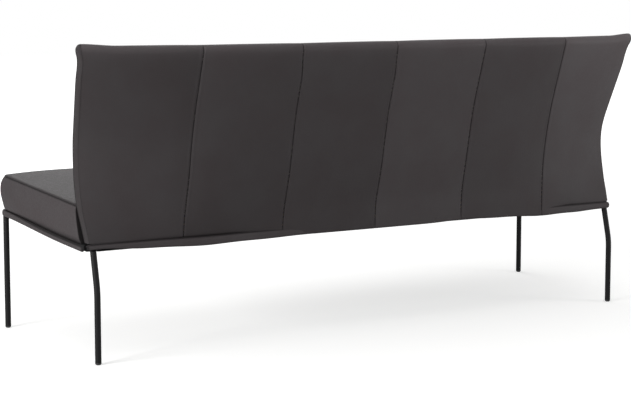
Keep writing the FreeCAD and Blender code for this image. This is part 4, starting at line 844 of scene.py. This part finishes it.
def sideBand(side):
    # the profile along a side, thinned out at its rear end
    inset, rise = bandProfile()
    run = closeAtEnds(*band["sideColumns"])[None, ::side]
    rear = band["sideRear"]
    forward = rear + (cornerStart(inset) - rear) * run
    shrink = endShrink(forward - rear, band["endRound"])
    middle = base["bandHeight"] / 2
    up = middle + (base["bandHeight"] * rise - middle) * shrink
    outwards, down = footShift(forward, side)
    across = side * (halfBase(forward) + outwards - inset - band["sideTaper"] * (1 - shrink))
    # painted shade at the rear end of the band
    endPaintedShade = bell(forward - rear, *band["endShade"])
    crease = np.maximum(bandPaintedShade(rise, rearShare(forward)), endPaintedShade)
    addLeather(f"band_{sideName(side)}", seatToRoom(across, forward, up - down), band["wall"], crease)


def frontBand():
    inset, rise = bandProfile()
    points = seatToRoom(*cornerPath(inset), base["bandHeight"] * rise)
    # painted shade along the top and a little along the lower edge
    addLeather("band_front", points, band["wall"], bandPaintedShade(rise))


def rearBand():
    # its lower edge follows the hem, and its ends are rounded
    inset, rise = bandProfile()
    across = (closeAtEnds(*band["rearColumns"])[None, :] - 0.5) * 2 * band["rearEnd"]
    end = band["rearEnd"] - np.abs(across)
    across = across + band["rearShift"]
    shrink = endShrink(end, band["rearRound"])
    low = hemHeight(across) - band["rearLap"]
    high = base["rearHeight"] + base["bandHeight"] + band["rearTop"]
    high = high - band["rearDip"] * bell(np.abs(across) - band["dipPlace"], band["dipReach"])
    middle = (low + high) / 2
    height = middle + (low + (high - low) * rise - middle) * shrink
    hang = hangShare(across)
    thinned = band["rearTaper"] * (1 - shrink)
    depth = base["setback"] + inset * band["rearFull"] + thinned + band["rearHang"] * hang
    sway = band["rearSway"] * np.sin(across / band["swayAcross"]) * np.sin(rise * pi)
    depth = depth - sway * (1 - hang)
    # painted shade along the top and at the ends, and painted light over the whole band
    crease = np.maximum(band["rearShade"] * bandPaintedShade(rise), bell(end, *band["rearEndShade"]))
    addLeather("band_rear", toRoom(across, depth, height), band["wall"], crease, band["rearTone"])


for side in (-1, 1):
    sideBand(side)
frontBand()
rearBand()
print("bands made")

# The four outer tubes of the base that carry these bands, bent round the two front corners.
tube = {
    "gap": 1.1, "depth": 18.0, "rearDepth": 41.0, "rearHalf": 927.0, "hemGap": 0.8, "cornerGap": 0.2,
    "rearStart": 24.1, "dropSpan": (20, 60), "outerFrom": 9, "rearOuterTo": 20,
}


def tubeSection(depth):
    # from the inner foot over the top and down the rounded face, with the flat underside below it
    face, rise = halfRound(15)
    low, high = tube["gap"], base["bandHeight"] - tube["gap"]
    face, inner = face + low, depth + low
    inset = np.concatenate([np.full(4, inner), np.linspace(inner, face[0], 6)[1:-1], face])[:, None]
    rise = low + (high - low) * rise
    up = np.concatenate([np.linspace(low, high, 4), np.full(4, high), rise])[:, None]
    under = np.linspace(inner, face[-1], len(inset))[:, None]
    return (inset, up), (under, np.full_like(up, low))


def addTube(place, grids):
    piece = addClosed(f"tube{place.title()}", *grids)
    finishPiece(piece, framePrimer, f"base_{place}_rail")


def frontTube():
    # the section along the same plan as the front band
    section = tubeSection(tube["depth"])
    addTube("front", [seatToRoom(*cornerPath(place), level) for place, level in section])


def sideTube(side):
    # straight along a side; near the rear its outer face moves with the foot of the leather
    grids = []
    run = np.linspace(0, 1, 12)[None, ::side]
    for place, level in tubeSection(tube["depth"]):
        last = cornerStart(place) - tube["cornerGap"]
        forward = tube["rearStart"] + (last - tube["rearStart"]) * run
        outwards, down = footShift(forward, side)
        outer = 1 - smoothStep(place, tube["outerFrom"], tube["gap"] + tube["depth"])
        down = down * smoothStep(forward, *tube["dropSpan"])
        across = side * (halfBase(forward) + outwards * outer - place)
        grids.append(seatToRoom(across, forward, level - down * outer))
    addTube(sideName(side), grids)


def rearTube():
    # the deep tube that carries the back; near the leather its underside keeps above the hem
    across = np.linspace(-1, 1, 160)[None, :] * tube["rearHalf"] + band["rearShift"]
    lowest = hemHeight(across) - base["rearHeight"] + tube["hemGap"]
    high = base["bandHeight"] - tube["gap"]
    grids = []
    for place, level in tubeSection(tube["rearDepth"]):
        raised = high - (high - level) * np.minimum((high - lowest) / (high - tube["gap"]), 1)
        outer = 1 - smoothStep(place, tube["outerFrom"], tube["rearOuterTo"])
        raised = level + (raised - level) * outer
        grids.append(toRoom(across, base["setback"] + place, base["rearHeight"] + raised))
    addTube("rear", grids)


frontTube()
for side in (-1, 1):
    sideTube(side)
rearTube()
print("base tubes made")

# Foam inside: closed forms that thin out softly at their edges.
foam = {
    "fill": 0.9, "edge": 10, "backColumns": (1880, 30, 10, 120), "backRows": (470, 14, 8, 44),
    "backFoot": 396, "backTop": 866, "backInset": 24, "beltRoom": 24, "skinRoom": 7.5,
    "seatColumns": (1900, 30, 10, 120), "seatRows": (470, 20, 8, 44), "seatFoot": 72,
    "rearWidth": 1820, "clear": 16, "sideInset": 13, "topRoom": 1.5, "edgeDrop": 12, "edgeSpan": 18,
}


def edgeFade(share, length):
    # 0 at the rims of a grid and 1 inside
    gap = np.minimum(share, 1 - share) * length
    return np.sqrt(1 - (1 - np.clip(gap / foam["edge"], 0, 1)) ** 2)


def thinnedFaces(near, far, fade):
    # two faces that meet where fade is 0
    middle = (near + far) / 2
    return [middle + (face - middle) * fade for face in (near, far)]


def backFoam():
    # between the belts and the leather of the front
    run = closeAtEnds(*foam["backColumns"])[None, :]
    rise = closeAtEnds(*foam["backRows"])[:, None]
    height = foam["backFoot"] + (foam["backTop"] - foam["backFoot"]) * rise
    across = (run - 0.5) * 2 * (halfBack(height) - foam["backInset"])
    fade = edgeFade(run, foam["backColumns"][0]) * edgeFade(rise, foam["backRows"][0])
    rear = rearDepth(across, height)
    front = rear + backThickness(across, height) - foam["skinRoom"]
    faces = thinnedFaces(front, rear + foam["beltRoom"], fade)
    grids = [toRoom(across, depth, height) for depth in faces]
    finishPiece(addClosed("backFoam", *grids), cutFoam, "back_foam")


def seatFoam():
    # a block under the seat's leather, rounded at its front
    run = closeAtEnds(*foam["seatColumns"])[None, :]
    reach = closeAtEnds(*foam["seatRows"])[:, None]
    first = cushionRear((run - 0.5) * foam["rearWidth"]) + foam["clear"]
    forward = first + (rollStart + foam["clear"] - first) * reach
    rounding = smoothStep(forward, rollStart, rollStart + foam["clear"]) ** 2
    across = (run - 0.5) * 2 * (halfBase(forward) - foam["sideInset"] - foam["clear"] * rounding)
    fade = edgeFade(run, foam["seatColumns"][0]) * edgeFade(reach, foam["seatRows"][0])
    dip = foam["edgeDrop"] * smoothStep(forward, rollStart, rollStart + foam["edgeSpan"]) ** 2
    top = seamRise(forward) - foam["topRoom"] - dip
    faces = thinnedFaces(top, foam["seatFoot"], fade)
    grids = [seatToRoom(across, forward, up)[:, ::-1] for up in faces]
    finishPiece(addClosed("seatFoam", *grids), cutFoam, "seat_foam")


backFoam()
seatFoam()
print("foam made")

# Floor, light and camera.
studio = {
    "floorSize": 40.0, "floorColour": "#e9e9e8", "floorGlow": 0.42, "glowFrom": 1.6, "glowTo": 6.0,
    "skyColour": "#ffffff", "skyLight": 0.35,
}
reach = studio["floorSize"] / 2
corners = [(-reach, -reach, 0), (reach, -reach, 0), (reach, reach, 0), (-reach, reach, 0)]
floorMesh = bpy.data.meshes.new("studioFloor")
floorMesh.from_pydata(corners, [], [(0, 1, 2, 3)])
floor = bpy.data.objects.new("studioFloor", floorMesh)
scene.collection.objects.link(floor)
# matt painted board, which glows for the camera, more with distance, so that it reads as white
paint, spot = newMaterial("mattStudioBoard")
board = addNode(paint, "BsdfDiffuse", {"Color": hexColour(studio["floorColour"])})
rays = addNode(paint, "LightPath", {})
away = addNode(paint, "VectorMath", {0: spot}, operation="LENGTH")
fade = addNode(paint, "MapRange", {
    "Value": away.outputs["Value"], "From Min": studio["glowFrom"], "From Max": studio["glowTo"],
    "To Min": studio["floorGlow"], "To Max": 1.0}, interpolation_type="SMOOTHSTEP")
glow = addNode(paint, "Math", {0: rays.outputs["Is Camera Ray"], 1: fade}, operation="MULTIPLY")
lamp = addNode(paint, "Emission", {"Strength": glow})
both = addNode(paint, "AddShader", {0: board, 1: lamp})
addNode(paint, "OutputMaterial", {"Surface": both})
floorMesh.materials.append(paint)

# a sky that is white to the camera and in reflections, and dimmer as a light
world = bpy.data.worlds.new("studioSky")
scene.world = world
world.use_nodes = True
world.node_tree.nodes.clear()
rays = addNode(world, "LightPath", {})
seen = addNode(world, "Math", {
    0: rays.outputs["Is Camera Ray"], 1: rays.outputs["Is Glossy Ray"]}, operation="MAXIMUM")
seen = addNode(world, "Math", {0: seen, 1: rays.outputs["Is Transmission Ray"]}, operation="MAXIMUM")
level = addNode(world, "MapRange", {"Value": seen, "To Min": studio["skyLight"], "To Max": 1.0})
sky = addNode(world, "Background", {"Color": hexColour(studio["skyColour"]), "Strength": level})
addNode(world, "OutputWorld", {"Surface": sky})

# lamps by name: place, target and size in metres, power in watts
lamps = {
    "overhead": ((0.3, 0.4, 3.4), (0, 0, 0.5), 3.2, 26),
    "leftOfCamera": ((4.6, 1.0, 1.1), (0.6, 0, 0.5), 1.8, 207),
    "rightOfCamera": ((-3.6, 2.6, 0.7), (-0.6, 0.1, 0.8), 1.2, 85),
    "behindCamera": ((2.8, 5.0, 1.0), (0, 0.2, 0.6), 2.6, 45),
    "frontFill": ((-0.5, -4.0, 2.4), (0, 0, 0.5), 2.6, 60),
}
for name, (place, target, size, power) in lamps.items():
    data = bpy.data.lights.new(name, "AREA")
    data.shape = "SQUARE"
    data.size = size
    data.energy = power
    light = bpy.data.objects.new(name, data)
    light.location = place
    # turned so that it looks at its target
    across, along, up = np.subtract(target, place)
    drop, heading = np.arctan2(np.hypot(across, along), -up), np.arctan2(across, -along)
    light.rotation_euler = (drop, 0, heading + pi)
    scene.collection.objects.link(light)

# distances in metres from the rear feet, angles in degrees; the shift frames the photograph's crop
camera = {
    "across": 2.4295, "depth": 3.9697, "height": 1.0377, "turn": 29.139, "drop": 5.853,
    "lens": 87.34, "sensor": 36, "shift": -0.08,
}
optics = bpy.data.cameras.new("photographer")
optics.lens = camera["lens"]
optics.sensor_width = camera["sensor"]
optics.shift_y = camera["shift"]
viewer = bpy.data.objects.new("photographer", optics)
viewer.location = (camera["across"], rearFootY * 0.001 + camera["depth"], camera["height"])
viewer.rotation_euler = (radians(90 - camera["drop"]), 0, radians(180 - camera["turn"]))
scene.collection.objects.link(viewer)
scene.camera = viewer
scene.view_settings.view_transform = "Standard"
print("studio set")
